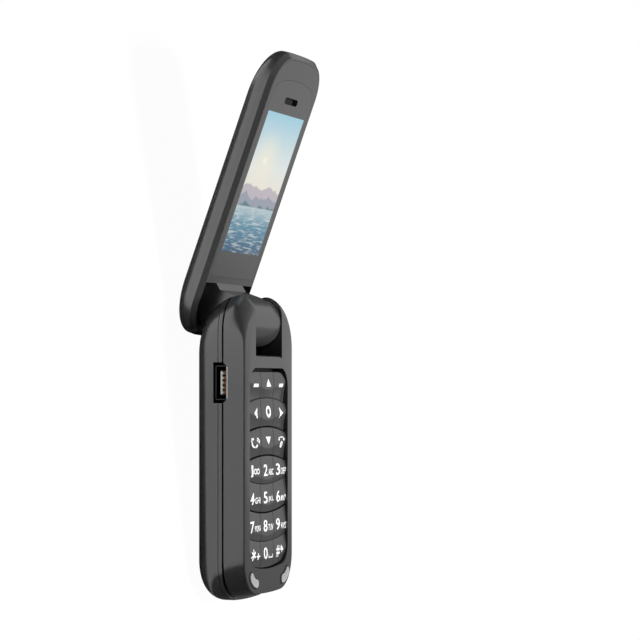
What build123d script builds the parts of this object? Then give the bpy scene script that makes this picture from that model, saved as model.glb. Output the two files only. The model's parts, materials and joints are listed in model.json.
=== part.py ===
from build123d import *

import os
from math import cos, radians, sin, sqrt

# A small flip phone: a keypad half, and a lid with the screen on a friction hinge.
# Everything is drawn with the lid shut, about an origin on the middle of the hinge axis:
# +X across, +Y towards the hinge end, +Z out of the keypad face. Lengths are in millimetres.
# At the end the lid is opened, and the open phone is laid on a table the way it really lies.

# ---------------------------------------------------------------- overall sizes
body_width = 31.0
base_thickness = 11.7
axis_above_back = 5.85
axis_to_base_top = 6.2
axis_to_lid_heel = 6.0
lid_shortfall = 1.9
end_room = 5.0
corner_radius = 8.0
end_crown = 0.8
wall = 1.2
shut_gap = 0.5
opening_angle = 160.0

# ---------------------------------------------------------------- edge roundings of the base
back_side_round = 3.0
back_top_round = 9.2
back_bottom_round = 4.5
face_edge_round = 0.7
face_top_round = 4.5
shell_end_step = 0.7
shell_end_draft = 0.16

# ---------------------------------------------------------------- parting lines of the base
cover_rim_height = 5.4
cover_gap = 0.05
frame_strip = 0.9
seam = 0.3
lip_gap = 0.06
lip_wall = 0.9
lip_below = 2.0
lip_above = 0.8

# ---------------------------------------------------------------- hinge
barrel_radius = 5.6
barrel_length = 16.4
barrel_side_gap = 0.3
barrel_clearance = 0.3
pocket_depth = 7.6
pocket_wall = 1.0
pocket_lip = 0.8
cover_notch_depth = 4.2
seat_top_z = -1.0
ear_depth = 9.6
cheek_radius = 3.4
cheek_inset = 4.1
pin_radius = 2.4
pin_bore_radius = 1.6
pin_reach = 2.7
running_gap = 0.05
cartridge_radius = 3.25
cartridge_length = 11.9
shaft_radius = 1.6
shaft_reach = 4.0
flex_roll_radius = 1.4
flex_thickness = 0.25
flex_overhang = 0.6

# ---------------------------------------------------------------- keypad
keypad_border = 3.1
keypad_chin = 6.9
keypad_top = -10.4
top_row_height = 6.7
bottom_row_height = 6.1
key_rows = 7
keypad_corner = 4.2
middle_column = 8.2
row_curve_radius = 60.0
key_gap = 0.22
key_sink = 0.25
key_height = 2.1
key_flange = 0.45
flange_height = 0.9
key_travel = 0.35
key_head_drop = 0.45
key_foot_drop = 0.6
key_foot_run = 1.6
crest_rises = (2.0, 1.6, 1.6, 0.9, 1.6, 1.0, 2.0)
upper_crest_radius = 24.0
lower_crest_radius = 40.0
crest_overlap = 0.3
sheet_border = 0.6
sheet_thickness = 0.35
dome_radius = 2.2
dome_sides = 8
dome_height = 0.3
dome_taper = 55.0
stack_gap = 0.05
board_thickness = 0.9
board_inset = 2.4
board_top = -9.6

# ---------------------------------------------------------------- inner pieces of the base
battery_side_room = 2.8
battery_length = 31.5
battery_height = 3.85
battery_top = -18.3
battery_gap = 0.1
battery_corner = 1.5
bay_wall = 0.8
bay_wall_end = 9.3
contact_pitch = 3.2
contact_width = 1.4
contact_leaf = 0.3
contact_foot = 1.6
sim_width = 16.0
sim_length = 15.0
sim_height = 1.4
sim_top = -30.5
sim_skin = 0.2
speaker_width = 15.0
speaker_length = 6.4
speaker_height = 2.9
speaker_corner = 2.5
speaker_slots = 4
speaker_slot_width = 0.9
speaker_slot_length = 4.0
speaker_slot_pitch = 2.4
motor_radius = 1.85
motor_length = 5.2
weight_length = 2.6
motor_inset = 6.3
motor_y = -12.6
microphone_radius = 2.0
microphone_height = 1.3
microphone_x = 9.0
microphone_inset = 8.6

# ---------------------------------------------------------------- side port
port_y = -13.7
port_z = 0.1
port_length = 9.0
port_height = 3.3
port_chamfer = 1.0
socket_length = 7.6
socket_height = 2.7
socket_wall = 0.25
socket_depth = 5.2
socket_recess = 0.55
tongue_length = 5.4
tongue_thickness = 0.6
tongue_reach = 3.8
pin_count = 5
pin_pitch = 0.95
pin_width = 0.5
pin_thickness = 0.15

# ---------------------------------------------------------------- bumpers and screws
bumper_inset = 4.4
bumper_rise = 2.0
bumper_arc_radius = 4.9
bumper_width = 2.0
bumper_start = 222.0
bumper_sweep = 43.0
bumper_stand = 0.4
bumper_socket = 0.7
bumper_fit = 0.08
bumper_edge = 0.3
screw_radius = 0.7
screw_head_radius = 1.15
screw_head_height = 0.7
screw_length = 4.0
boss_radius = 1.3
ear_screw_inset = 3.6
ear_screw_y = -7.7
end_screw_x = 3.5
end_screw_inset = 4.3

# ---------------------------------------------------------------- lid
lid_edge_height = 5.4
lid_edge_round = 3.0
lid_dome_rise = 0.55
lid_rim_chamfer = 0.9
lid_rim_height = 1.1
lid_heel_ratio = 2.2
lid_tip_ratio = 2.0
lid_corner_ratio = 0.5
plate_thickness = 1.3
plate_gap = 0.05
axis_to_plate = 6.7
end_wall_height = 3.9
end_wall_inset = 3.1
neck_lean_height = 1.35
neck_roof_half = 2.2
neck_roof_height = 3.65
neck_heel_height = 0.95
neck_heel = 3.2
neck_root_angle = 38.0
lens_side_border = 2.6
lens_start = 8.2
lens_tip_border = 5.7
lens_corner = 4.5
lens_foot_corner = 1.2
lens_arch = 1.6
lens_thickness = 0.7
lens_gap = 0.05
screen_side_border = 1.3
screen_tip_border = 3.1
screen_start = 14.2
screen_border = 0.4
display_border = 0.9
display_thickness = 1.6
ear_slot_length = 8.2
ear_slot_width = 1.5
ear_slot_inset = 10.4
ear_mesh_thickness = 0.2
earpiece_length = 10.0
earpiece_width = 4.2
earpiece_height = 1.9
lid_board_width = 22.0
lid_board_start = 10.0
lid_board_end_room = 3.9
lid_board_thickness = 0.8

# ---------------------------------------------------------------- what follows from these sizes
half_width = body_width / 2
battery_width = body_width - 2 * battery_side_room
bay_low = battery_top - battery_length - battery_gap
speaker_y = bay_low - bay_wall - battery_gap - speaker_length / 2
axis_to_base_bottom = end_room - speaker_y + speaker_length / 2
axis_to_lid_tip = axis_to_base_bottom - lid_shortfall
cheek_end = half_width - cheek_inset
motor_x = half_width - motor_inset
microphone_y = microphone_inset - axis_to_base_bottom
keypad_width = body_width - 2 * keypad_border
keypad_length = axis_to_base_bottom + keypad_top - keypad_chin
keypad_middle = keypad_top - keypad_length / 2
key_pitch = (keypad_length - top_row_height - bottom_row_height) / (key_rows - 2)
bumper_x = keypad_width / 2 - bumper_inset
bumper_y = keypad_top - keypad_length + bumper_rise
end_screw_y = end_screw_inset - axis_to_base_bottom
screw_places = [(side * (half_width - ear_screw_inset), ear_screw_y) for side in (-1, 1)]
screw_places += [(side * end_screw_x, end_screw_y) for side in (-1, 1)]
end_wall_half = half_width - end_wall_inset
lens_width = body_width - 2 * lens_side_border
lens_end = axis_to_lid_tip - lens_tip_border
ear_slot_at = axis_to_lid_tip - ear_slot_inset
screen_width = lens_width - 2 * screen_side_border
screen_length = ear_slot_at - screen_tip_border - screen_start
lid_board_length = ear_slot_at - lid_board_end_room - lid_board_start

# ---------------------------------------------------------------- heights worked out from them
back_z = -axis_above_back
face_z = base_thickness - axis_above_back
cover_rim_z = back_z + cover_rim_height
frame_z = cover_rim_z + cover_gap
frame_top_z = frame_z + frame_strip
shell_z = frame_top_z + seam
floor_z = back_z + wall
lid_z = face_z + shut_gap
pocket_half = barrel_length / 2 + barrel_side_gap
key_top_z = face_z - key_sink
key_bottom_z = key_top_z - key_height
sheet_top_z = key_bottom_z - key_travel - stack_gap
sheet_z = sheet_top_z - sheet_thickness
board_top_z = sheet_z - stack_gap - dome_height
board_z = board_top_z - board_thickness
battery_z = floor_z + stack_gap
web_top_z = frame_z + lip_wall / 4
web_z = battery_z + battery_height + stack_gap

pieces = {}
lid_pieces = []


def keep(piece, name, colour, in_lid=False):
    """Files a finished piece under its name, and says whether it swings with the lid."""
    piece.label = name
    piece.color = Color(colour)
    pieces[name] = piece
    if in_lid:
        lid_pieces.append(name)


def drawn_in(depth, radius):
    """How far a rounded edge has drawn in, at this depth from the face that it rounds into."""
    if radius <= 0 or depth >= radius:
        return 0.0
    return radius - sqrt(radius**2 - (radius - max(depth, 0.0)) ** 2)


def oblong(z, half, top, bottom, radius):
    """A plan at height z with straight sides, slightly crowned ends and round corners."""
    with BuildSketch(Plane.XY.offset(z)) as plan:
        with BuildLine():
            Line((-half, bottom + end_crown), (-half, top - end_crown))
            ThreePointArc((-half, top - end_crown), (0, top), (half, top - end_crown))
            Line((half, top - end_crown), (half, bottom + end_crown))
            ThreePointArc((half, bottom + end_crown), (0, bottom), (-half, bottom + end_crown))
        make_face()
        fillet(plan.vertices(), radius)
    return plan.sketch


def base_plan(z, inset=0.0, front=False):
    """The base's plan at height z, or that of a surface that lies inset below its skin."""
    up = z - back_z - inset
    down = face_z - z - inset
    side = drawn_in(up, back_side_round - inset) + drawn_in(down, face_edge_round - inset)
    top = drawn_in(up, back_top_round - inset) + drawn_in(down, face_top_round - inset)
    bottom = drawn_in(up, back_bottom_round - inset) + drawn_in(down, face_edge_round - inset)
    if front:
        bottom += shell_end_step + shell_end_draft * max(0.0, z - shell_z)
    return oblong(
        z,
        half_width - side - inset,
        axis_to_base_top - top - inset,
        -axis_to_base_bottom + bottom + inset,
        corner_radius - side - inset,
    )


def lid_height(draw_in):
    """How high the lid's skin stands over its inner face, where its plan has drawn in this far."""
    left = 1 - min(1.0, draw_in / lid_edge_round)
    dome = lid_dome_rise * (1 - (1 - draw_in / half_width) ** 2)
    return lid_edge_height - lid_edge_round * (1 - sqrt(1 - left**2)) + dome


def lid_plan(z, draw_in=0.0, inset=0.0):
    """The lid's plan at height z. Its ends draw in faster than its sides."""
    return oblong(
        z,
        half_width - draw_in - inset,
        axis_to_lid_heel - lid_heel_ratio * draw_in - inset,
        -axis_to_lid_tip + lid_tip_ratio * draw_in + inset,
        corner_radius - lid_corner_ratio * draw_in - inset / 2,
    )


def slab(x, y, z, mode=Mode.ADD):
    """A block between two X, two Y and two Z places."""
    with BuildSketch(Plane.XY.offset(min(z))) as plan:
        with Locations(((x[0] + x[1]) / 2, (y[0] + y[1]) / 2)):
            Rectangle(abs(x[1] - x[0]), abs(y[1] - y[0]))
    extrude(plan.sketch, amount=abs(z[1] - z[0]), mode=mode)


def rod(radius, x_from, x_to, mode=Mode.ADD):
    """A round rod on the hinge axis between two X places."""
    with BuildSketch(Plane.YZ.offset(min(x_from, x_to))) as section:
        Circle(radius)
    extrude(section.sketch, amount=abs(x_to - x_from), mode=mode)


def side_profile(x_from, x_to, points, mode=Mode.ADD):
    """A straight-edged profile, given as (Y, Z) corners, between two X places."""
    with BuildSketch(Plane.YZ.offset(min(x_from, x_to))) as section:
        with BuildLine():
            Polyline(*points, close=True)
        make_face()
    extrude(section.sketch, amount=abs(x_to - x_from), mode=mode)


def hinge_notch(depth, half, mode=Mode.SUBTRACT):
    """The open space between the base's two ears, down to this depth below the hinge axis."""
    reach = axis_to_base_top + wall
    slab((-half, half), (-depth, reach), (back_z - wall, face_z + wall), mode)


def port_hole(mode=Mode.SUBTRACT):
    """The side port's hole, whose two corners nearer the keypad face are cut off."""
    near, far = port_y - port_length / 2, port_y + port_length / 2
    low, high = port_z - port_height / 2, port_z + port_height / 2
    corners = [
        (near, low),
        (far, low),
        (far, high - port_chamfer),
        (far - port_chamfer, high),
        (near + port_chamfer, high),
        (near, high - port_chamfer),
    ]
    side_profile(-half_width - wall, -half_width + wall + 2 * lip_wall, corners, mode)


def screw_circles(z, radius):
    """One circle at each case screw."""
    with BuildSketch(Plane.XY.offset(z)) as circles:
        with Locations(*screw_places):
            Circle(radius)
    return circles.sketch


# ================================================================ base: back cover
cover_heights = (0, 0.06, 0.3, 0.8, 1.7, 3.2, cover_rim_height)
hollow_heights = (0, 0.1, 0.6, 2.2, 3.4, cover_rim_height)

with BuildPart() as rear_cover:
    loft([base_plan(back_z + h) for h in cover_heights], ruled=True)
    loft([base_plan(floor_z + h, wall) for h in hollow_heights], ruled=True, mode=Mode.SUBTRACT)
    hinge_notch(cover_notch_depth, pocket_half + lip_gap)
    port_hole()
    with BuildSketch(Plane.XY.offset(back_z)):
        with Locations((0, speaker_y)):
            with GridLocations(speaker_slot_pitch, 0, speaker_slots, 1):
                SlotOverall(speaker_slot_length, speaker_slot_width, rotation=90)
    extrude(amount=wall, mode=Mode.SUBTRACT)
keep(rear_cover.part, "rear_cover", "dimgray")

# ================================================================ base: inner frame
frame_low_z = cover_rim_z - lip_below

with BuildPart() as ear_room:
    loft([base_plan(floor_z + lip_gap + h, wall + lip_gap) for h in hollow_heights], ruled=True)
    extrude(base_plan(floor_z + lip_gap + cover_rim_height, wall + lip_gap), amount=base_thickness)

with BuildPart() as ear_sides:
    # What closes the inner side of each ear beside the hinge barrel, and the cheeks that carry the hinge.
    slab((-cheek_end, cheek_end), (-ear_depth, axis_to_base_top), (back_z, cover_rim_z))
    rod(cheek_radius, -cheek_end, cheek_end)
    add(ear_room.part, mode=Mode.INTERSECT)
    slab((-pocket_half, pocket_half), (-pocket_depth, axis_to_base_top), (seat_top_z, face_z), Mode.SUBTRACT)
    rod(barrel_radius + barrel_clearance, -pocket_half, pocket_half, Mode.SUBTRACT)
    slab(
        (-pocket_half, pocket_half),
        (-cover_notch_depth + lip_gap, axis_to_base_top),
        (back_z, face_z),
        Mode.SUBTRACT,
    )

with BuildPart() as chassis:
    # The strip that shows beside the seam, and the lips that centre both covers on it.
    extrude(base_plan(frame_z), amount=frame_strip)
    extrude(base_plan(frame_low_z, wall + lip_gap), amount=lip_below + frame_strip)
    extrude(base_plan(frame_top_z + lip_above + seam, wall + lip_gap, True), amount=-lip_above - seam)
    extrude(
        base_plan(frame_low_z, wall + lip_gap + lip_wall),
        amount=base_thickness,
        mode=Mode.SUBTRACT,
    )
    hinge_notch(pocket_depth, pocket_half)
    add(ear_sides.part)
    pocket_room = pocket_wall + lip_gap
    slab(
        (-pocket_half - pocket_room, pocket_half + pocket_room),
        (-pocket_depth - pocket_room, axis_to_base_top + wall),
        (frame_top_z, face_z),
        Mode.SUBTRACT,
    )
    # The web between the battery and the board, with a window behind the card reader.
    bay_high = battery_top + 2 * contact_leaf + 2 * battery_gap
    web_half = half_width - wall - lip_gap - lip_wall / 2
    bay_half = battery_width / 2
    slab((-web_half, web_half), (bay_low - bay_wall, battery_top), (web_z, web_top_z))
    slab((-bay_half, bay_half), (bay_low - bay_wall, bay_low), (battery_z, web_top_z))
    slab((-bay_wall_end, bay_half), (bay_high, bay_high + bay_wall), (battery_z, frame_top_z))
    slab((-bay_wall_end, web_half), (battery_top, bay_high), (web_z, frame_top_z))
    slab((-bay_wall_end, bay_wall_end), (battery_top, bay_high), (back_z, face_z), Mode.SUBTRACT)
    slab(
        (-sim_width / 2 + bay_wall, sim_width / 2 - bay_wall),
        (sim_top - sim_length + bay_wall, sim_top - bay_wall),
        (back_z, face_z),
        Mode.SUBTRACT,
    )
    # Screw eyes.
    eye_radius = screw_head_radius + lip_wall / 2
    extrude(screw_circles(frame_z, eye_radius), amount=frame_strip)
    slab(
        (-end_screw_x - eye_radius, end_screw_x + eye_radius),
        (-axis_to_base_bottom + wall, end_screw_y),
        (frame_z, frame_top_z),
    )
    extrude(screw_circles(back_z, screw_head_radius + lip_gap), amount=frame_z - back_z, mode=Mode.SUBTRACT)
    extrude(screw_circles(back_z, screw_radius), amount=base_thickness, mode=Mode.SUBTRACT)
    rod(pin_radius, -cheek_end - 2 * flex_overhang, -pocket_half, Mode.SUBTRACT)
    rod(shaft_radius, pocket_half, cheek_end, Mode.SUBTRACT)
    port_hole()
keep(chassis.part, "chassis", "darkslategray")

# ================================================================ base: keypad shell
face_depths = (face_top_round, 2.4, 1.3, face_edge_round, 0.3, 0.08, 0)
hollow_depths = (3.2, 0.8, 0)

with BuildPart() as shell_hollow:
    levels = [shell_z - wall, shell_z] + [face_z - wall - d for d in hollow_depths]
    loft([base_plan(z, wall, True) for z in levels], ruled=True)
    walled = pocket_half + pocket_wall
    slab((-walled, walled), (-pocket_depth - pocket_wall, axis_to_base_top), (back_z, face_z), Mode.SUBTRACT)


def bumper_beans(z, widen):
    """Both bumpers' outlines: a bean bent round each lower corner of the keypad."""
    with BuildSketch(Plane.XY.offset(z)) as beans:
        for side in (-1, 1):
            start = bumper_start if side < 0 else 180 - bumper_start - bumper_sweep
            with BuildLine(mode=Mode.PRIVATE) as spine:
                CenterArc((side * bumper_x, bumper_y), bumper_arc_radius, start, bumper_sweep)
            SlotArc(spine.edge(), bumper_width + widen)
    return beans.sketch


def keypad_outline(z, grow):
    """The keypad's outline, grown or shrunk by this much all round. Its lower end bends as the rows do."""
    half = keypad_width / 2 + grow
    top, low = keypad_top + grow, keypad_top - keypad_length - grow
    low_side = low + row_curve_radius - sqrt(row_curve_radius**2 - half**2)
    with BuildSketch(Plane.XY.offset(z)) as outline:
        with BuildLine():
            Polyline((-half, low_side), (-half, top), (half, top), (half, low_side))
            ThreePointArc((half, low_side), (0, low), (-half, low_side))
        make_face()
        fillet(outline.vertices(), keypad_corner + grow)
    return outline.sketch


with BuildPart() as front_shell:
    levels = [shell_z] + [face_z - d for d in face_depths]
    loft([base_plan(z, front=True) for z in levels], ruled=True)
    add(shell_hollow.part, mode=Mode.SUBTRACT)
    hinge_notch(pocket_depth, pocket_half)
    pocket_edges = front_shell.edges().filter_by(Axis.X).group_by(Axis.Z)[-1]
    fillet(pocket_edges.sort_by_distance((0, -pocket_depth, face_z))[0], min(pocket_lip, pocket_wall - lip_gap))
    extrude(screw_circles(frame_top_z + lip_gap, boss_radius), amount=face_z - wall / 2 - frame_top_z - lip_gap)
    extrude(screw_circles(frame_top_z, screw_radius), amount=screw_length - frame_strip, mode=Mode.SUBTRACT)
    extrude(keypad_outline(face_z - 2 * wall, 0), amount=3 * wall, mode=Mode.SUBTRACT)
    extrude(bumper_beans(face_z - bumper_socket, 2 * bumper_fit), amount=wall, mode=Mode.SUBTRACT)
    rod(pin_radius + 2 * running_gap, -pocket_half - 2 * pocket_wall, -pocket_half, Mode.SUBTRACT)
    rod(shaft_radius + 2 * running_gap, pocket_half, pocket_half + 2 * pocket_wall, Mode.SUBTRACT)
    port_hole()
keep(front_shell.part, "front_shell", "gray")

# ================================================================ keypad
key_names = [
    ["key_soft_left", "key_up", "key_soft_right"],
    ["key_left", "key_ok", "key_right"],
    ["key_call", "key_down", "key_end"],
    ["key_1", "key_2", "key_3"],
    ["key_4", "key_5", "key_6"],
    ["key_7", "key_8", "key_9"],
    ["key_star", "key_0", "key_hash"],
]


def row_line(row):
    """Where the line above a row crosses the keypad's middle."""
    if row == 0:
        return keypad_top
    if row == key_rows:
        return keypad_top - keypad_length
    return keypad_top - top_row_height - (row - 1) * key_pitch


def row_bend(row):
    """+1 for a line that hangs down in the middle, -1 for one that arches up."""
    return -1 if row <= key_rows // 2 else 1


def key_cell(z, row, column):
    """One key's share of the keypad: between two column lines and two curved row lines."""
    side = keypad_width / 2 + wall
    sag = row_curve_radius - sqrt(row_curve_radius**2 - side**2)
    high = row_line(row) - (key_gap / 2 if row else -wall)
    low = row_line(row + 1) + (key_gap / 2 if row < key_rows - 1 else -wall)
    high_side = high + (row_bend(row) * sag if row else 0)
    low_side = low + (row_bend(row + 1) * sag if row < key_rows - 1 else 0)
    with BuildSketch(Plane.XY.offset(z)) as cell:
        with BuildLine():
            if row:
                ThreePointArc((-side, high_side), (0, high), (side, high_side))
            else:
                Line((-side, high), (side, high))
            Line((side, high_side), (side, low_side))
            if row < key_rows - 1:
                ThreePointArc((side, low_side), (0, low), (-side, low_side))
            else:
                Line((side, low), (-side, low))
            Line((-side, low_side), (-side, high_side))
        make_face()
        lines = [-side, -middle_column / 2, middle_column / 2, side]
        left, right = lines[column] + key_gap / 2, lines[column + 1] - key_gap / 2
        with Locations(((left + right) / 2, keypad_middle)):
            Rectangle(right - left, 2 * keypad_length, mode=Mode.INTERSECT)
    return cell.sketch


def key_head(row):
    """What is cut off above a row's crest: each row rises gently from its upper line to its crest."""
    high, crest = row_line(row), row_line(row + 1) + crest_rises[row] - crest_overlap
    with BuildSketch(Plane.YZ) as relief:
        with BuildLine():
            Polyline(
                (crest, key_top_z),
                (crest, key_top_z + wall),
                (high + wall, key_top_z + wall),
                (high + wall, key_top_z - key_head_drop),
                (high, key_top_z - key_head_drop),
                close=True,
            )
        make_face()
    return relief.sketch


def key_foot(row):
    """What is cut off below a row's crest: there it falls steeply to its lower line."""
    crest, low = row_line(row + 1) + crest_rises[row], row_line(row + 1) - 2 * key_pitch
    with BuildSketch(Plane.YZ) as relief:
        with BuildLine():
            Polyline(
                (crest, key_top_z),
                (crest, key_top_z + wall),
                (low, key_top_z + wall),
                (low, key_top_z - key_foot_drop),
                (crest - key_foot_run, key_top_z - key_foot_drop),
                close=True,
            )
        make_face()
    return relief.sketch


for row, names in enumerate(key_names):
    bend = row_bend(row + 1)
    bend_axis = Axis((0, row_line(row + 1) + bend * row_curve_radius, 0), (0, 0, 1))
    crest_radius = upper_crest_radius if bend < 0 else lower_crest_radius
    crest_axis = Axis((0, row_line(row + 1) + crest_rises[row] + crest_radius, 0), (0, 0, 1))
    for column, name in enumerate(names):
        with BuildPart() as key:
            extrude(keypad_outline(key_bottom_z, key_flange), amount=flange_height)
            extrude(keypad_outline(key_bottom_z, -key_gap), amount=key_height)
            extrude(key_cell(key_bottom_z, row, column), amount=key_height, mode=Mode.INTERSECT)
            revolve(key_head(row), axis=bend_axis, mode=Mode.SUBTRACT)
            revolve(key_foot(row), axis=crest_axis, mode=Mode.SUBTRACT)
        keep(key.part, name, "darkgray")

with BuildPart() as keypad_sheet:
    extrude(keypad_outline(sheet_z, sheet_border), amount=sheet_thickness)
keep(keypad_sheet.part, "keypad_sheet", "lightgray")

column_x = (middle_column + keypad_width) / 4

with BuildPart() as key_domes:
    for row in range(key_rows):
        for x in (-column_x, 0, column_x):
            place = Plane((x, (row_line(row) + row_line(row + 1)) / 2, board_top_z))
            with BuildSketch(place):
                RegularPolygon(dome_radius, dome_sides)
            extrude(amount=dome_height, taper=dome_taper)
keep(key_domes.part, "key_domes", "gold")

# ================================================================ inside the base
with BuildPart() as main_board:
    extrude(base_plan(board_z, board_inset, True), amount=board_thickness)
    slab((-half_width, half_width), (board_top, axis_to_base_top), (board_z, face_z), Mode.SUBTRACT)
    extrude(screw_circles(board_z, boss_radius + battery_gap), amount=board_thickness, mode=Mode.SUBTRACT)
keep(main_board.part, "main_board", "darkgreen")

with BuildPart() as battery:
    with BuildSketch(Plane.XY.offset(battery_z)):
        with Locations((0, battery_top - battery_length / 2)):
            RectangleRounded(battery_width, battery_length, battery_corner)
    extrude(amount=battery_height)
keep(battery.part, "battery", "slategray")

with BuildPart() as battery_contacts:
    leaf_y = battery_top + contact_leaf + battery_gap
    for i in (-1, 0, 1):
        side_profile(
            i * contact_pitch - contact_width / 2,
            i * contact_pitch + contact_width / 2,
            [
                (leaf_y, board_z),
                (leaf_y + contact_foot, board_z),
                (leaf_y + contact_foot, board_z - contact_leaf),
                (leaf_y + contact_leaf, board_z - contact_leaf),
                (leaf_y + contact_leaf, web_z - contact_foot),
                (battery_top + lip_gap, web_z - contact_foot / 2),
                (leaf_y, web_z - contact_leaf),
            ],
        )
keep(battery_contacts.part, "battery_contacts", "gold")

with BuildPart() as sim_holder:
    reader = (sim_top - sim_length, sim_top)
    slab((-sim_width / 2, sim_width / 2), reader, (board_z - sim_height, board_z))
    slab(
        (-sim_width / 2 + 2 * sim_skin, sim_width / 2 - 2 * sim_skin),
        (sim_top - sim_length, sim_top - 2 * sim_skin),
        (board_z - sim_height + sim_skin, board_z - sim_skin),
        Mode.SUBTRACT,
    )
keep(sim_holder.part, "sim_holder", "silver")

with BuildPart() as loudspeaker:
    with BuildSketch(Plane.XY.offset(battery_z)):
        with Locations((0, speaker_y)):
            RectangleRounded(speaker_width, speaker_length, speaker_corner)
    extrude(amount=speaker_height)
keep(loudspeaker.part, "loudspeaker", "black")

with BuildPart() as vibration_motor:
    motor_z = board_z - stack_gap - motor_radius
    with BuildSketch(Plane.YZ.offset(motor_x - motor_length)):
        with Locations((motor_y, motor_z)):
            Circle(motor_radius)
    extrude(amount=motor_length)
    with BuildSketch(Plane.YZ.offset(motor_x)):
        with Locations((motor_y, motor_z)):
            Circle(motor_radius)
            Rectangle(2 * motor_radius, motor_radius, align=(Align.CENTER, Align.MIN), mode=Mode.SUBTRACT)
            Circle(motor_radius / 3)
    extrude(amount=weight_length)
keep(vibration_motor.part, "vibration_motor", "silver")

with BuildPart() as microphone:
    with BuildSketch(Plane.XY.offset(board_z - microphone_height)):
        with Locations((microphone_x, microphone_y)):
            Circle(microphone_radius)
    extrude(amount=microphone_height)
keep(microphone.part, "microphone", "silver")

# ================================================================ side port
socket_mouth = -half_width + socket_recess
socket_back = socket_mouth + socket_depth


def port_section(x, length, height):
    """An oblong across the port, centred in it."""
    with BuildSketch(Plane.YZ.offset(x)) as section:
        with Locations((port_y, port_z)):
            Rectangle(length, height)
    return section.sketch


with BuildPart() as usb_shell:
    extrude(port_section(socket_mouth, socket_length, socket_height), amount=socket_depth)
    fillet(usb_shell.edges().filter_by(Axis.X), 2 * socket_wall)
    hollow_size = (socket_length - 2 * socket_wall, socket_height - 2 * socket_wall)
    extrude(port_section(socket_mouth, *hollow_size), amount=socket_depth - socket_wall, mode=Mode.SUBTRACT)
keep(usb_shell.part, "usb_shell", "silver")

with BuildPart() as usb_tongue:
    root_x = socket_back - socket_wall
    extrude(port_section(root_x, tongue_length, tongue_thickness), amount=-tongue_reach)
keep(usb_tongue.part, "usb_tongue", "black")

with BuildPart() as usb_contacts:
    for i in range(pin_count):
        middle = port_y + (i - (pin_count - 1) / 2) * pin_pitch
        slab(
            (root_x - tongue_reach + pin_width, root_x),
            (middle - pin_width / 2, middle + pin_width / 2),
            (port_z + tongue_thickness / 2, port_z + tongue_thickness / 2 + pin_thickness),
        )
keep(usb_contacts.part, "usb_contacts", "orange")

# ================================================================ bumpers and screws
with BuildPart() as closing_bumpers:
    extrude(bumper_beans(face_z - bumper_socket, 0), amount=bumper_socket + bumper_stand)
    chamfer(closing_bumpers.faces().filter_by(Axis.Z).group_by(Axis.Z)[-1].edges(), bumper_edge)
keep(closing_bumpers.part, "closing_bumpers", "silver")

with BuildPart() as case_screws:
    extrude(screw_circles(frame_z - screw_head_height, screw_head_radius), amount=screw_head_height)
    extrude(screw_circles(frame_z, screw_radius), amount=screw_length)
keep(case_screws.part, "case_screws", "silver")

# ================================================================ hinge
barrel_end = barrel_length / 2

with BuildPart() as hinge_pin:
    rod(pin_radius, -cheek_end, -barrel_end + pin_reach)
    rod(pin_bore_radius, -cheek_end, -barrel_end + pin_reach, Mode.SUBTRACT)
keep(hinge_pin.part, "hinge_pin", "silver")

with BuildPart() as hinge_shaft:
    rod(shaft_radius, barrel_end - shaft_reach, cheek_end)
keep(hinge_shaft.part, "hinge_shaft", "silver")

with BuildPart() as hinge_cartridge:
    rod(cartridge_radius, barrel_end - cartridge_length, barrel_end)
    rod(shaft_radius + running_gap, barrel_end - shaft_reach - 2 * running_gap, barrel_end, Mode.SUBTRACT)
keep(hinge_cartridge.part, "hinge_cartridge", "silver", in_lid=True)

with BuildPart() as hinge_flex:
    flex_end = barrel_end - cartridge_length - cover_gap
    rod(flex_roll_radius, -cheek_end - flex_overhang, flex_end)
    rod(flex_roll_radius - flex_thickness, -cheek_end - flex_overhang, flex_end, Mode.SUBTRACT)
keep(hinge_flex.part, "hinge_flex", "orange")

# ================================================================ lid: outer cover
edge_shares = (0, 0.03, 0.13, 0.32, 0.6, 1.0)
dome_shares = (0.4, 0.7)
skin_steps = [lid_edge_round * share for share in edge_shares] + [half_width * share for share in dome_shares]

with BuildPart() as lid_outer_cover:
    loft([lid_plan(lid_z, 0, lid_rim_chamfer), lid_plan(lid_z + lid_rim_height)], ruled=True)
    extrude(lid_plan(lid_z + lid_rim_height), amount=lid_height(0) - lid_rim_height)
    loft([lid_plan(lid_z + lid_height(i), i) for i in skin_steps], ruled=True)
    extrude(lid_plan(lid_z, 0, wall), amount=lid_height(0) - wall, mode=Mode.SUBTRACT)
    hollow = [lid_plan(lid_z + lid_height(i) - wall, i, wall) for i in skin_steps[::2]]
    loft(hollow, ruled=True, mode=Mode.SUBTRACT)
keep(lid_outer_cover.part, "lid_outer_cover", "dimgray", in_lid=True)

# ================================================================ lid: inner cover with the hinge barrel


def lens_outline(z, grow):
    """The lens: square-cornered at the hinge, and arched with round corners at the tip."""
    half = lens_width / 2 + grow
    low, high = -lens_start + grow, -lens_end - grow
    with BuildSketch(Plane.XY.offset(z)) as outline:
        with BuildLine():
            Polyline((-half, high + lens_arch), (-half, low), (half, low), (half, high + lens_arch))
            ThreePointArc((half, high + lens_arch), (0, high), (-half, high + lens_arch))
        make_face()
        fillet(outline.vertices().group_by(Axis.Y)[0], lens_corner)
        fillet(outline.vertices().group_by(Axis.Y)[-1], lens_foot_corner)
    return outline.sketch


def ear_slot(z, grow=0.0):
    """The sound slot's outline."""
    with BuildSketch(Plane.XY.offset(z)) as slot:
        with Locations((0, -ear_slot_at)):
            SlotOverall(ear_slot_length + 2 * grow, ear_slot_width + 2 * grow)
    return slot.sketch


def screen_rectangle(z, grow):
    """The picture area's outline."""
    with BuildSketch(Plane.XY.offset(z)) as screen:
        with Locations((0, -screen_start - screen_length / 2)):
            Rectangle(screen_width + 2 * grow, screen_length + 2 * grow)
    return screen.sketch


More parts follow.
